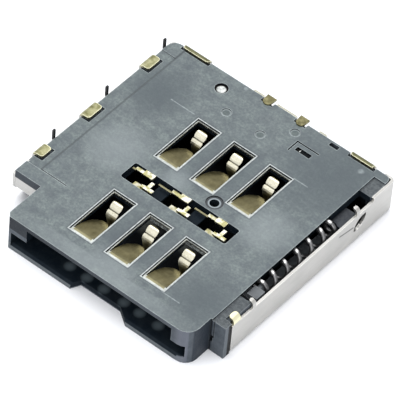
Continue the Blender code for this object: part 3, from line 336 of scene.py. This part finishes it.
def blend_colours(tree, share, first, second):
    """The first colour where the share is 0, the second where it is 1."""
    mix = tree.nodes.new("ShaderNodeMix")
    mix.data_type = "RGBA"
    put(tree, mix.inputs["Factor"], share)
    for socket, colour in ((mix.inputs["A"], first), (mix.inputs["B"], second)):
        put(tree, socket, colour if isinstance(colour, bpy.types.NodeSocket) else (*colour, 1))
    return mix.outputs["Result"]


def paint(tree, ground, colour, where, strength=1.0):
    """The ground with a colour laid over it where a mask is 1."""
    share = where if strength == 1.0 else maths(tree, "MULTIPLY", where, strength)
    return blend_colours(tree, share, ground, colour)


# %% [markdown]
# ## Pale edges, shaded corners and relief
# On a handled part the edges are paler, partly from wear and partly as a painted highlight where
# they catch the light, and the corners get painted shade. Both could be painted by hand, but two
# nodes find them by themselves. Where the Bevel node's rounded normal parts from the plain one
# there is an edge, and Ambient Occlusion is low in a corner. A fine Bump gives the grain, which is
# much too small to model.

# %% Edge, corner and relief helpers
# Finds the corners that get painted shade
def corner_shade(tree, reach):
    """1 deep in a corner of the same piece, falling to 0 at a reach in millimetres."""
    corner = tree.nodes.new("ShaderNodeAmbientOcclusion")
    corner.samples = 8
    corner.only_local = True
    corner.inputs["Distance"].default_value = reach * MM
    # The output is 1 in the open and falls the deeper a point lies in a corner
    return spread(tree, corner.outputs["AO"], 0.9, 0.35)


# Finds the edges that get wear and a painted highlight
def sheen_and_wear_edges(tree, radius):
    """0 on flat ground, rising to 1 at the sharp edges, within a radius in millimetres."""
    rounded = tree.nodes.new("ShaderNodeBevel")
    rounded.samples = 6
    rounded.inputs["Radius"].default_value = radius * MM
    plain_normal = tree.nodes.new("ShaderNodeNewGeometry")
    likeness = tree.nodes.new("ShaderNodeVectorMath")
    likeness.operation = "DOT_PRODUCT"
    tree.links.new(rounded.outputs["Normal"], likeness.inputs[0])
    tree.links.new(plain_normal.outputs["Normal"], likeness.inputs[1])
    # The product of the two normals is 1 where they agree
    return spread(tree, likeness.outputs["Value"], 0.98, 0.85)


def bump(tree, height, strength, distance):
    rough = tree.nodes.new("ShaderNodeBump")
    rough.inputs["Strength"].default_value = strength
    rough.inputs["Distance"].default_value = distance * MM
    tree.links.new(height, rough.inputs["Height"])
    return rough.outputs["Normal"]


def wire_up(tree, shader, colour, roughness, relief, metal=False):
    """Joins a finish to its shader.

    The roughness is a mask and the two numbers that it runs between, and the relief is a height,
    a strength and a depth in millimetres.
    """
    mask, smoothest, roughest = roughness
    put(tree, shader.inputs["Base Color"], colour)
    put(tree, shader.inputs["Roughness"], spread(tree, mask, 0, 1, smoothest, roughest))
    put(tree, shader.inputs["Normal"], bump(tree, *relief))
    shader.inputs["Metallic"].default_value = 1.0 if metal else 0.0


# %% [markdown]
# ## Soft edges
# The solids have knife-sharp edges, which no moulding or stamping has. Bevelling their meshes
# would change the solids, so modifiers do it: the loose triangles are merged, the flat faces are
# joined, and then every real edge is rounded a little and catches the light.

# %% Edge helper
MERGE_REACH = 1e-7
FLAT_ANGLE = radians(1)
EDGE_ANGLE = radians(35)


def dress(name, finish, rounding=0.0):
    """Gives a CAD node its finish and, with a rounding in millimetres, soft edges."""
    item = nodes[name]
    item.data.materials.clear()
    item.data.materials.append(finish)
    if rounding:
        merge = item.modifiers.new("merge", "WELD")
        merge.merge_threshold = MERGE_REACH
        flats = item.modifiers.new("join_flats", "DECIMATE")
        flats.decimate_type = "DISSOLVE"
        flats.angle_limit = FLAT_ANGLE
        edge = item.modifiers.new("soft_edges", "BEVEL")
        edge.width = rounding * MM
        edge.segments = 2
        edge.limit_method = "ANGLE"
        edge.angle_limit = EDGE_ANGLE
    print("dressed", name, "with", finish.name, "and edges of", rounding, "mm")


# %% [markdown]
# ## The bloom on the moulding's deck
# The housing is moulded in black plastic filled with glass. Its solder face has a dull bloom that
# looks blue-grey under soft light, with cloudy patches and a fine speckle. One noise would look
# like marble, so four noises of different sizes are laid over one another, and then larger pale
# and dusky clouds are placed where the photo shows them.

# %% The deck's bloom
BLOOM_DARK, BLOOM_LIGHT = (0.07, 0.085, 0.095), (0.15, 0.172, 0.17)
BLOOM_MOTTLED, BLOOM_STREAKED = (0.205, 0.24, 0.225), (0.078, 0.094, 0.106)
BLOOM_SPECKLED = (0.066, 0.08, 0.087)
CLOUD_DUSKY, CLOUD_PALE = (0.06, 0.075, 0.083), (0.24, 0.27, 0.27)
# Each cloud is the place of its middle and its radius
DUSKY_CLOUDS = (((5.2, 7.2), 4.2), ((0.0, 3.6), 2.6), ((-6.2, 5.6), 2.2), ((0.0, -3.6), 2.6),
                ((5.2, -4.6), 2.4))
PALE_CLOUDS = (((0.0, -6.3), 1.8), ((-1.3, 1.1), 1.1), ((4.6, 1.6), 1.9), ((-5.2, 0.8), 2.2))

moulding, tree, shader = start_material("moulded_plastic")
place, x, y, z = place_in_mm(tree)
clouds = noise(tree, place, scale=0.45, detail=4, roughness=0.6)
mottle = noise(tree, place, scale=1.7, detail=5, roughness=0.7, low=0.36, high=0.64)
speckle = noise(tree, place, scale=6.5, detail=4, roughness=0.75, low=0.38, high=0.62)
streaks = noise(tree, stretched(tree, place, 0.5, 2.4), scale=1.2, detail=4, roughness=0.6)
bloom = blend_colours(tree, clouds, BLOOM_DARK, BLOOM_LIGHT)
bloom = paint(tree, bloom, BLOOM_MOTTLED, mottle, 0.85)
bloom = paint(tree, bloom, BLOOM_STREAKED, streaks, 0.5)
bloom = paint(tree, bloom, BLOOM_SPECKLED, speckle, 0.6)

middle_part = spread(tree, maths(tree, "ABSOLUTE", x), 1.0, 5.5, 1.0, 0.1)
front_strip = all_of(tree, between(tree, y, -7.1, -6.15, 0.06), middle_part)
dusky = any_of(tree, *[patch(tree, x, y, *cloud) for cloud in DUSKY_CLOUDS])
pale = any_of(tree, *[patch(tree, x, y, *cloud) for cloud in PALE_CLOUDS], front_strip)
bloom = paint(tree, bloom, CLOUD_DUSKY, dusky, 0.75)
bloom = paint(tree, bloom, CLOUD_PALE, pale, 0.45)
print("bloom has", len(DUSKY_CLOUDS), "dusky and", len(PALE_CLOUDS), "pale clouds")

# %% [markdown]
# ## Rims of the windows
# Six windows stand in two rows of three. Each rim is painted pale as a painted highlight where its
# edge catches the light, with a thin line of painted shade round it. Six rectangles could be masked
# one by one. But the rows mirror each other, and so do the columns, so absolute values fold them
# together, and one distance serves every window.

# %% The windows' rims
WINDOW_PITCH = 2.54
WINDOW_HALF_WIDTH = 0.7875
WINDOW_HALF_LENGTH = 1.89
ROW_MIDDLE = 3.6
RIM_HIGHLIGHT, RIM_SHADE_LINE = (0.6, 0.62, 0.6), (0.03, 0.035, 0.04)


def window_distance(tree, x, along):
    """Distance in millimetres to the nearest window's outline, negative inside the window."""
    column = maths(tree, "ABSOLUTE", x)
    for centre in (-WINDOW_PITCH, WINDOW_PITCH):
        offset = maths(tree, "ABSOLUTE", maths(tree, "SUBTRACT", x, centre))
        column = maths(tree, "MINIMUM", column, offset)
    beside = maths(tree, "SUBTRACT", column, WINDOW_HALF_WIDTH)
    ahead = maths(tree, "SUBTRACT", maths(tree, "ABSOLUTE", along), WINDOW_HALF_LENGTH)
    return maths(tree, "MAXIMUM", beside, ahead)


from_row = maths(tree, "SUBTRACT", maths(tree, "ABSOLUTE", y), ROW_MIDDLE)
outline = window_distance(tree, x, from_row)
speckled_breakup = spread(tree, speckle, 0, 1, 1.0, 0.45)
# Painted highlight on each rim, and a thin line of painted shade round it
rim = all_of(tree, between(tree, outline, -0.1, 0.06), speckled_breakup)
bloom = paint(tree, bloom, RIM_SHADE_LINE, line(tree, outline, 0.11, 0.06), 0.4)
bloom = paint(tree, bloom, RIM_HIGHLIGHT, rim, 0.9)
print("windows measure", 2 * WINDOW_HALF_WIDTH, "by", 2 * WINDOW_HALF_LENGTH, "mm")

# %% [markdown]
# ## Marks of the mould
# A mould leaves traces on the deck: lines where its inserts meet, round marks of the pins that
# push the part out, and small dents. They are too shallow to be worth cutting, so they are drawn,
# and the speckle breaks them up as wear does. The pale rims of the pin marks are a painted glint on
# real marks. The deck's edges are painted paler, partly wear and partly a painted highlight, and a
# dark line sets off the strip along the left side.

# %% The mould's marks
TRACE, DISC_DULL = (0.33, 0.37, 0.37), (0.06, 0.08, 0.075)
EDGE_SHEEN_PALE, STRIP_DARK = (0.42, 0.46, 0.455), (0.035, 0.042, 0.047)
# Each insert line is its place along Y, and the X where it starts and ends
INSERT_LINES = ((5.6, -5.4, -3.7), (5.6, 3.3, 4.3), (-5.6, 3.25, 4.5))
INSERT_LINE_WIDTH = 0.06
DENTS = (((5.72, 8.52), 0.22), ((-2.84, 9.05), 0.16))
EJECTOR_PLACES = ((-2.51, 6.93), (-0.09, 6.9), (1.25, 8.32))

insert_lines = [
    all_of(tree, line(tree, y, place_y, INSERT_LINE_WIDTH), between(tree, x, start, end))
    for place_y, start, end in INSERT_LINES]
dents = [patch(tree, x, y, *dent) for dent in DENTS]
# The pale ejector rings are a painted glint on the real pin marks
ejector_rings = [ring_mark(tree, x, y, centre, 0.21, 0.3) for centre in EJECTOR_PLACES]
ejector_discs = [ring_mark(tree, x, y, centre, -0.1, 0.24) for centre in EJECTOR_PLACES]
traces = all_of(tree, any_of(tree, *insert_lines, *dents, *ejector_rings), speckled_breakup)
bloom = paint(tree, bloom, DISC_DULL, any_of(tree, *ejector_discs), 0.45)
bloom = paint(tree, bloom, TRACE, traces, 0.7)

# Painted highlight and wear along the deck's edges
edge_sheen_and_wear = all_of(tree, sheen_and_wear_edges(tree, 0.085), spread(tree, mottle, 0, 1, 0.4, 0.95))
bloom = paint(tree, bloom, EDGE_SHEEN_PALE, edge_sheen_and_wear)
strip_line = all_of(tree, line(tree, x, -7.21, 0.12), between(tree, y, -3.3, 9.0))
bloom = paint(tree, bloom, STRIP_DARK, strip_line, 0.8)
print("deck has", len(INSERT_LINES), "insert lines and", len(EJECTOR_PLACES), "ejector marks")

# %% [markdown]
# ## Walls of the moulding
# The walls have no bloom, so they are darker and cooler than the deck. Some parts of them get
# painted light and shade: painted shade on the left end of the front, on the left ear's front and
# on the bezel's right side, painted light on the front's bottom lip, the right ear's side and a
# bezel corner, and painted shade in the dark gaps beside the right ear. The lamps could be moved
# until these look right, but everything else would change too, so these parts are painted.

# %% The moulding's walls
WALL_DARK, WALL_LIGHT = (0.05, 0.06, 0.072), (0.085, 0.098, 0.112)
WALL_EDGE_SHEEN, SHADE, GAP_SHADE_BLACK = (0.22, 0.245, 0.265), (0.012, 0.016, 0.021), (0.004, 0.005, 0.006)
LIP_LIT, EAR_SIDE_LIT = (0.12, 0.135, 0.14), (0.1, 0.115, 0.13)
CORNER_LIT, BEZEL_SIDE_SHADE = (0.15, 0.158, 0.19), (0.025, 0.032, 0.042)

front_face = between(tree, y, -7.3, -6.9)
shaded_end = all_of(tree, front_face, between(tree, z, 1.6, 2.6),
                    spread(tree, x, -6.5, 6.0, 1.0, 0.25))
bottom_lip = all_of(tree, front_face, between(tree, z, -0.1, 0.5))
ear_side = zone(tree, (x, 7.23, 7.6), (y, -5.26, -4.5, 0.01))
gaps = any_of(tree, zone(tree, (x, 7.2, 7.6), (y, -5.0, -4.4)),
              zone(tree, (x, 6.41, 6.52), (y, -5.6, -5.0)))
left_ear = zone(tree, (y, -4.45, -3.95), (x, -9.0, -6.3))
shaded = any_of(tree, shaded_end, maths(tree, "MULTIPLY", left_ear, 0.5))
corner_light = all_of(tree, between(tree, y, -7.2, -6.8), between(tree, x, 5.5, 6.3, 0.2))
bezel_side = zone(tree, (x, 6.32, 6.6), (y, -6.7, -5.3, 0.1))

walls = blend_colours(tree, mottle, WALL_DARK, WALL_LIGHT)
# Painted highlight and wear along the walls' edges
walls = paint(tree, walls, WALL_EDGE_SHEEN, edge_sheen_and_wear, 0.7)
# Painted light on the bottom lip, the ear's side and a bezel corner; painted shade in the gaps, the
# shaded front end and the bezel's side
walls = paint(tree, walls, LIP_LIT, bottom_lip, 0.6)
walls = paint(tree, walls, EAR_SIDE_LIT, ear_side)
walls = paint(tree, walls, GAP_SHADE_BLACK, gaps)
walls = paint(tree, walls, SHADE, shaded)
walls = paint(tree, walls, CORNER_LIT, corner_light, 0.5)
walls = paint(tree, walls, BEZEL_SIDE_SHADE, bezel_side)
print("walls made, with", len(tree.nodes), "nodes so far")

# %% [markdown]
# ## The moulding's zones
# One solid carries all of these surfaces. Material slots would need its faces sorted by hand, so
# masks on height and place tell the zones apart: the solder face, the lower margin on its right,
# and all that is hidden, such as the card's room inside the bezel and the spring's slot.

# %% The moulding's zones
up_face = facing_up(tree)
solder_face = all_of(tree, up_face, between(tree, z, 2.435, 3.0, 0.005))
margin_face = all_of(tree, up_face, zone(tree, (z, 2.38, 2.435, 0.005), (x, 6.4, 8.0)))
spring_ledge = all_of(tree, up_face, zone(tree, (x, 6.4, 7.3), (z, 1.8, 2.3)))
window_end = zone(tree, (y, -1.8, -1.6), (z, 1.2, 2.42), (x, -0.75, 3.4))
sight_slot = zone(tree, (y, 7.2, 7.7), (x, 1.9, 3.15), (z, 2.2, 2.45))
bezel_corner = all_of(tree, ring_mark(tree, x, y, (5.6, -6.25), 0.72, 1.1),
                      zone(tree, (x, 5.6, 6.6), (y, -7.2, -6.25)))
card_room = all_of(tree, zone(tree, (x, -6.2, 6.38), (y, -7.03, 9.1, 0.01)),
                   inverse(tree, bezel_corner))
spring_slot = zone(tree, (x, 6.4, 7.24), (y, -2.95, 7.5))
hidden = all_of(tree, any_of(tree, card_room, spring_slot), between(tree, z, 0.08, 3.0))
front_top = zone(tree, (z, 2.2, 2.6, 0.01), (y, -7.2, -7.0))
print("zones made, with", len(tree.nodes), "nodes so far")

# %% [markdown]
# ## The moulding's finish
# Now the surfaces are laid over one another, zone by zone, with the soft glow spots that light
# makes deep in the card's mouth and a pale ring inside a ring of painted shade round the small
# hole. The hidden zones are painted nearly black, as painted shade. One even black would look
# flat, so they keep a faint mottle. They hardly shine, because in the photo no light reaches them.
# The shine differs from zone to zone, so it is linked, and its input also gets a plain number, for
# models that can't keep the link.

# %% The moulding's finish
DEPTH_SHADE_BLACK, DEPTH_SHADE_DARK = (0.005, 0.009, 0.014), (0.012, 0.017, 0.022)
LEDGE_DARK, LEDGE_LIGHT = (0.04, 0.043, 0.05), (0.065, 0.07, 0.075)
MARGIN_DARK, MARGIN_LIGHT = (0.035, 0.042, 0.048), (0.09, 0.102, 0.105)
MARGIN_EDGE_SHEEN, WINDOW_END_LIT = (0.3, 0.33, 0.34), (0.45, 0.48, 0.46)
GLOW, SIGHT_SLOT_SHADE, CORNER_SHADE_BLACK = (0.12, 0.15, 0.165), (0.006, 0.007, 0.008), (0.008, 0.01, 0.012)
HOLE_DARK, HOLE_PALE = (0.035, 0.04, 0.045), (0.24, 0.27, 0.28)
WALL_SHINE, DECK_SHINE, DEPTH_SHINE, USUAL_SHINE = 0.16, 0.35, 0.06, 0.3
HOLE_PLACE = (1.27, 1.27)
GLOW_PLACES = tuple((place_x, -6.1) for place_x in (-2.6, -1.4, -0.2, 1.2, 2.3, 3.6))

depth_shade = blend_colours(tree, mottle, DEPTH_SHADE_BLACK, DEPTH_SHADE_DARK)
ledge = blend_colours(tree, speckle, LEDGE_DARK, LEDGE_LIGHT)
margin = blend_colours(tree, speckle, MARGIN_DARK, MARGIN_LIGHT)
# Painted highlight and wear along the margin's edges
margin = paint(tree, margin, MARGIN_EDGE_SHEEN, edge_sheen_and_wear, 0.8)
glow_spots = any_of(tree, *[patch(tree, x, y, centre, 0.4) for centre in GLOW_PLACES])
glow = all_of(tree, glow_spots, between(tree, z, 0.3, 0.5))
hole_shade = all_of(tree, up_face, ring_mark(tree, x, y, HOLE_PLACE, 0.36, 0.52))
hole_rim = all_of(tree, up_face, ring_mark(tree, x, y, HOLE_PLACE, 0.26, 0.36))

# The hidden zones are painted near black as painted shade
colour = blend_colours(tree, maths(tree, "SUBTRACT", hidden, front_top), walls, depth_shade)
# Painted light on the end walls of two front windows
colour = paint(tree, colour, WINDOW_END_LIT, all_of(tree, window_end, speckle))
# Painted shade fills the small sight slot
colour = paint(tree, colour, SIGHT_SLOT_SHADE, sight_slot)
colour = paint(tree, colour, ledge, spring_ledge)
colour = paint(tree, colour, GLOW, glow, 0.75)
colour = paint(tree, colour, margin, margin_face)
colour = paint(tree, colour, bloom, solder_face)
colour = paint(tree, colour, HOLE_DARK, hole_shade)
colour = paint(tree, colour, HOLE_PALE, hole_rim)
# Painted shade darkens the moulding's corners
colour = paint(tree, colour, CORNER_SHADE_BLACK, corner_shade(tree, 0.22), 0.8)
grain = maths(tree, "ADD", maths(tree, "MULTIPLY", mottle, 0.6), speckle)
wire_up(tree, shader, colour, roughness=(mottle, 0.46, 0.62), relief=(grain, 0.35, 0.012))

shine = spread(tree, any_of(tree, solder_face, margin_face), 0, 1, WALL_SHINE, DECK_SHINE)
matt = all_of(tree, hidden, inverse(tree, solder_face))
shine = maths(tree, "ADD", maths(tree, "MULTIPLY", shine, inverse(tree, matt)),
              maths(tree, "MULTIPLY", matt, DEPTH_SHINE))
shader.inputs["Specular IOR Level"].default_value = USUAL_SHINE
put(tree, shader.inputs["Specular IOR Level"], shine)
print("moulded plastic has", len(tree.nodes), "nodes")
dress("housing", moulding, 0.035)

# %% [markdown]
# ## The sled's plastic
# The sled that carries the card is moulded in the same kind of plastic. It could share the
# housing's finish, but that one's zones lie where the housing's own faces are. So the sled has a
# simpler finish, with paler edges and a little more shine where it rubs against the housing.

# %% Sled plastic
SLED_DARK, SLED_LIGHT, SLED_WORN = (0.06, 0.066, 0.072), (0.12, 0.13, 0.135), (0.3, 0.32, 0.33)
sled, tree, shader = start_material("sled_plastic")
place = place_in_mm(tree)[0]
mottle = noise(tree, place, scale=2.0, detail=4, roughness=0.6)
colour = blend_colours(tree, mottle, SLED_DARK, SLED_LIGHT)
colour = paint(tree, colour, SLED_WORN, sheen_and_wear_edges(tree, 0.06), 0.7)
grain = noise(tree, place, scale=12.0)
wire_up(tree, shader, colour, roughness=(mottle, 0.4, 0.55), relief=(grain, 0.3, 0.01))
dress("slider", sled, 0.03)

# %% [markdown]
# ## The cover's sheet metal
# The cover is thin plated sheet. Its walls are satin grey with rolling marks that run along the
# sheet, and the solder tabs folded over the deck carry a khaki flash of gold with pale sheared
# edges. An even metal would look like chrome, so a stretched noise breaks it up.

# %% Cover metal
SHEET_DARK, SHEET_LIGHT = (0.44, 0.433, 0.41), (0.55, 0.54, 0.52)
SHEET_HAZE, SHEET_EDGE = (0.36, 0.36, 0.35), (0.86, 0.86, 0.83)
KHAKI_DARK, KHAKI_LIGHT = (0.15, 0.145, 0.06), (0.42, 0.41, 0.25)
KHAKI_BACK, KHAKI_EDGE = (0.1, 0.1, 0.05), (0.86, 0.84, 0.62)
sheet_metal, tree, shader = start_material("plated_sheet")
place, x, y, z = place_in_mm(tree)
rolling = noise(tree, stretched(tree, place, 6.0, 0.35, 6.0), scale=2.2, detail=4, roughness=0.6)
haze = noise(tree, place, scale=0.5, detail=3)
blotch = noise(tree, place, scale=3.0, detail=4, roughness=0.6)
sheet = blend_colours(tree, rolling, SHEET_DARK, SHEET_LIGHT)
sheet = paint(tree, sheet, SHEET_HAZE, haze, 0.45)
sheet = paint(tree, sheet, SHEET_EDGE, sheen_and_wear_edges(tree, 0.06), 0.7)
khaki = blend_colours(tree, blotch, KHAKI_DARK, KHAKI_LIGHT)
khaki = paint(tree, khaki, KHAKI_BACK, between(tree, y, 8.6, 9.6), 0.7)
khaki = paint(tree, khaki, KHAKI_EDGE, sheen_and_wear_edges(tree, 0.12), 0.95)
print("sheet and khaki made, with", len(tree.nodes), "nodes so far")

# %% [markdown]
# ## The cover's zones
# The tabs could have a material slot of their own, but their height above the deck already tells
# them from the walls. The front tab is paler than the others, the three upright prongs are painted
# nearly black as painted shade, and a thin slanted slit is drawn beside the lens-shaped window.
# Under the deck the sheet only reflects a dark room, so it is painted nearly black there, with two
# patches of painted light seen through the front windows.

# %% The cover's zones
TAB_PALE, PRONG_SHADE_BLACK, SLIT_DARK = (0.75, 0.72, 0.5), (0.03, 0.03, 0.03), (0.1, 0.1, 0.1)
ROOM_BLACK, ROOM_DARK, ROOM_LIT = (0.012, 0.014, 0.016), (0.05, 0.055, 0.05), (0.16, 0.17, 0.16)
PRONG_PLACES = (-0.95, 3.55, 8.55)
PRONG_SPAN = 0.6
SLIT_SLANT, SLIT_HEIGHT, SLIT_WIDTH = 0.203, 2.61, 0.1
LIT_PLACES = (((0.95, -0.15), 1.0), ((-1.6, -0.5), 1.1))

tabs = all_of(tree, between(tree, z, 2.44, 3.0), between(tree, x, -8.34, 7.0, 0.04))
front_tab = zone(tree, (z, 2.2, 3.0, 0.05), (x, 6.5, 7.6), (y, -5.2, -3.6))
prong_lines = [line(tree, y, place_y, PRONG_SPAN) for place_y in PRONG_PLACES]
prongs = all_of(tree, zone(tree, (z, 2.3, 3.2), (x, -9, -8.2)), any_of(tree, *prong_lines))
slant = maths(tree, "ADD", z, maths(tree, "MULTIPLY", y, SLIT_SLANT))
slit = all_of(tree, line(tree, slant, SLIT_HEIGHT, SLIT_WIDTH),
              zone(tree, (y, 4.5, 5.8), (x, 7.4, 7.6)))
room = zone(tree, (x, -8.23, 7.28), (y, -3.9, 9.28), (z, 0.05, 1.9))
lit_floor = any_of(tree, *[patch(tree, x, y, *spot) for spot in LIT_PLACES])
room_colour = blend_colours(tree, lit_floor, ROOM_BLACK,
                            blend_colours(tree, blotch, ROOM_DARK, ROOM_LIT))

colour = blend_colours(tree, tabs, sheet, khaki)
colour = paint(tree, colour, TAB_PALE, front_tab)
# Painted shade on the upright prongs
colour = paint(tree, colour, PRONG_SHADE_BLACK, prongs)
colour = paint(tree, colour, SLIT_DARK, slit)
colour = paint(tree, colour, room_colour, room)
wire_up(tree, shader, colour, roughness=(rolling, 0.34, 0.46), relief=(rolling, 0.2, 0.006),
        metal=True)
print("plated sheet has", len(tree.nodes), "nodes")
dress("cover", sheet_metal, 0.025)

# %% [markdown]
# ## Gilt contacts
# Each contact is stamped from copper alloy. The arm's root is dull and brownish, partly its own
# colour and partly a painted dark reflection, the lobes at its tip are painted bright cream as a
# painted reflection, with painted shade in the crease between them, and the frame's cut edge is
# pale grey.
# Six materials could do it, one for each contact. But the three in a row lie at the same place
# along Y, so one finish serves a row, and its masks run along Y from the row's middle.

# %% Contact metal
ROOT_DARK, ROOT_LIGHT, ROOT_PALE = (0.13, 0.115, 0.055), (0.24, 0.215, 0.115), (0.3, 0.29, 0.19)
TIP_SHEEN_DARK, TIP_SHEEN_LIGHT = (0.62, 0.59, 0.46), (0.78, 0.76, 0.64)
FRAME_DARK, FRAME_LIGHT = (0.36, 0.38, 0.36), (0.56, 0.58, 0.54)
TAIL_DARK, TAIL_LIGHT = (0.42, 0.4, 0.2), (0.8, 0.79, 0.68)
ARM_WORN, CREASE_SHADE = (0.6, 0.58, 0.44), (0.05, 0.05, 0.04)


def gilt(name, middle):
    """A gilt finish for a row of contacts whose windows have their middle at a place along Y."""
    made, tree, shader = start_material(name)
    place, x, y, z = place_in_mm(tree)
    along = maths(tree, "SUBTRACT", y, middle)
    stain = noise(tree, stretched(tree, place, 1.0, 0.6), scale=2.4, detail=4, roughness=0.6)
    fine = noise(tree, place, scale=14.0)
    tip = between(tree, along, 0.7, 2.0, 0.05)
    crease = all_of(tree, line(tree, along, 0.95, 0.06), tip)
    worn = all_of(tree, sheen_and_wear_edges(tree, 0.04), inverse(tree, tip))

    # The root's brown is partly its own colour and partly a painted dark reflection
    root = blend_colours(tree, stain, ROOT_DARK, ROOT_LIGHT)
    root = paint(tree, root, ROOT_PALE, spread(tree, along, -1.3, -1.85, 0.0, 0.5))
    # The tip's bright cream is a painted reflection
    arm = paint(tree, root, blend_colours(tree, fine, TIP_SHEEN_DARK, TIP_SHEEN_LIGHT), tip)
    arm = paint(tree, arm, ARM_WORN, worn, 0.4)
    # Painted shade in the crease between the lobes
    arm = paint(tree, arm, CREASE_SHADE, crease, 0.75)
    tail_stain = noise(tree, place, scale=3.0, low=0.42, high=0.58)
    tail = blend_colours(tree, tail_stain, TAIL_DARK, TAIL_LIGHT)
    arm = paint(tree, arm, tail, between(tree, y, -1.0, 0.95))
    cut_edge = blend_colours(tree, stain, FRAME_DARK, FRAME_LIGHT)
    near_outline = between(tree, window_distance(tree, x, along), -0.16, 0.2, 0.03)
    frame_colour = paint(tree, root, cut_edge, near_outline)
    colour = paint(tree, arm, frame_colour, between(tree, z, 2.385, 2.42, 0.004))
    wire_up(tree, shader, colour, roughness=(stain, 0.28, 0.42), relief=(fine, 0.15, 0.006),
            metal=True)
    return made


for row, middle in (("front", -ROW_MIDDLE), ("back", ROW_MIDDLE)):
    finish = gilt("gilt_" + row, middle)
    for side in ("left", "middle", "right"):
        dress("contact_%s_%s" % (row, side), finish)

# %% [markdown]
# ## Card switch
# The card-detect switch has the same thin gilding as the contacts. One of its faces shows at the
# bottom of the round sight hole, where it looks like a pale disc in a dark ring of painted shade,
# and in the small slot only a gleam of it is lit. The hole and the slot are deep for their size, so
# the shade in them is painted and doesn't depend on where the lamps stand.

# %% Switch metal
SWITCH_DARK, SWITCH_LIGHT = (0.12, 0.11, 0.055), (0.26, 0.24, 0.13)
DISC_DARK, DISC_LIGHT = (0.22, 0.24, 0.24), (0.8, 0.82, 0.8)
RING_SHADE_BLACK, SLOT_SHADE, GLEAM = (0.015, 0.015, 0.015), (0.012, 0.012, 0.012), (0.6, 0.62, 0.6)
SIGHT_PLACE, GLEAM_PLACE = (-3.87, 8.16), (2.36, 7.5)

switch_metal, tree, shader = start_material("switch_gilt")
place, x, y = place_in_mm(tree)[:3]
stain = noise(tree, place, scale=4.0, detail=3, roughness=0.6)
in_sight = patch(tree, x, y, SIGHT_PLACE, 0.7)
disc = blend_colours(tree, stain, DISC_DARK, DISC_LIGHT)
gleam = spread(tree, patch(tree, x, y, GLEAM_PLACE, 0.13), 0.0, 0.3)
colour = blend_colours(tree, stain, SWITCH_DARK, SWITCH_LIGHT)
# Painted shade in a dark ring round the disc
colour = paint(tree, colour, RING_SHADE_BLACK, spread(tree, in_sight, 0.0, 0.05))
colour = paint(tree, colour, disc, spread(tree, in_sight, 0.82, 0.9))
colour = paint(tree, colour, SLOT_SHADE, zone(tree, (x, 1.8, 3.2), (y, 7.1, 7.8)))
colour = paint(tree, colour, GLEAM, gleam)
wire_up(tree, shader, colour, roughness=(stain, 0.3, 0.44), relief=(stain, 0.2, 0.005), metal=True)
dress("detect_contact", switch_metal, 0.02)
dress("detect_blade", switch_metal, 0.02)

# %% [markdown]
# ## Latch pin
# The latch pin is a bent piece of plain drawn steel wire. It lies under the deck and barely
# shows, so one stain on grey metal is enough, and its solid needs no softer edges.

# %% Pin wire
PIN_DARK, PIN_LIGHT = (0.1, 0.1, 0.105), (0.26, 0.26, 0.27)
pin_metal, tree, shader = start_material("pin_wire")
stain = noise(tree, place_in_mm(tree)[0], scale=4.0, detail=3, roughness=0.6)
colour = blend_colours(tree, stain, PIN_DARK, PIN_LIGHT)
wire_up(tree, shader, colour, roughness=(stain, 0.25, 0.39), relief=(stain, 0.2, 0.005), metal=True)
dress("cam_pin", pin_metal)

# %% [markdown]
# ## Wire of the return spring
# The spring's wire is dull, but where a coil comes out from under the deck's edge its crown
# shines white, and that shine is a painted highlight. A lamp aimed at the slot could give that
# shine, but it would light the slot too, so the crowns are painted by their height and their place
# across the socket.

# %% Spring wire
WIRE_DARK, WIRE_LIGHT, CROWN_HIGHLIGHT = (0.09, 0.09, 0.092), (0.2, 0.2, 0.205), (0.85, 0.85, 0.84)
spring_metal, tree, shader = start_material("spring_wire")
place, x, y, z = place_in_mm(tree)
stain = noise(tree, place, scale=4.0, detail=3, roughness=0.6)
crown = zone(tree, (z, 2.2, 2.6, 0.06), (x, 6.3, 6.78, 0.06))
colour = blend_colours(tree, stain, WIRE_DARK, WIRE_LIGHT)
# Painted highlight on each coil's crown
colour = paint(tree, colour, CROWN_HIGHLIGHT, crown)
wire_up(tree, shader, colour, roughness=(stain, 0.3, 0.45), relief=(stain, 0.2, 0.005), metal=True)
print("spring wire has", len(tree.nodes), "nodes")

# %% [markdown]
# ## Return spring
# The coil is one long round wire. A row of rings could stand in for it, but a true helix shows
# the slant of each turn. A copy of its solid is merged and shaded smooth, so that the wire's many
# small flats read as round, and the copy takes the place of the solid, which is hidden.

bm = bmesh.new()
bm.from_mesh(nodes["spring"].data)
bmesh.ops.remove_doubles(bm, verts=bm.verts, dist=MERGE_REACH)
for face in bm.faces:
    face.smooth = True
coil_mesh = bpy.data.meshes.new("return_spring")
bm.to_mesh(coil_mesh)
bm.free()
coil_mesh.materials.append(spring_metal)
coil = bpy.data.objects.new("return_spring", coil_mesh)
scene.collection.objects.link(coil)
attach(coil, "socket")
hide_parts("spring")
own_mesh(coil)
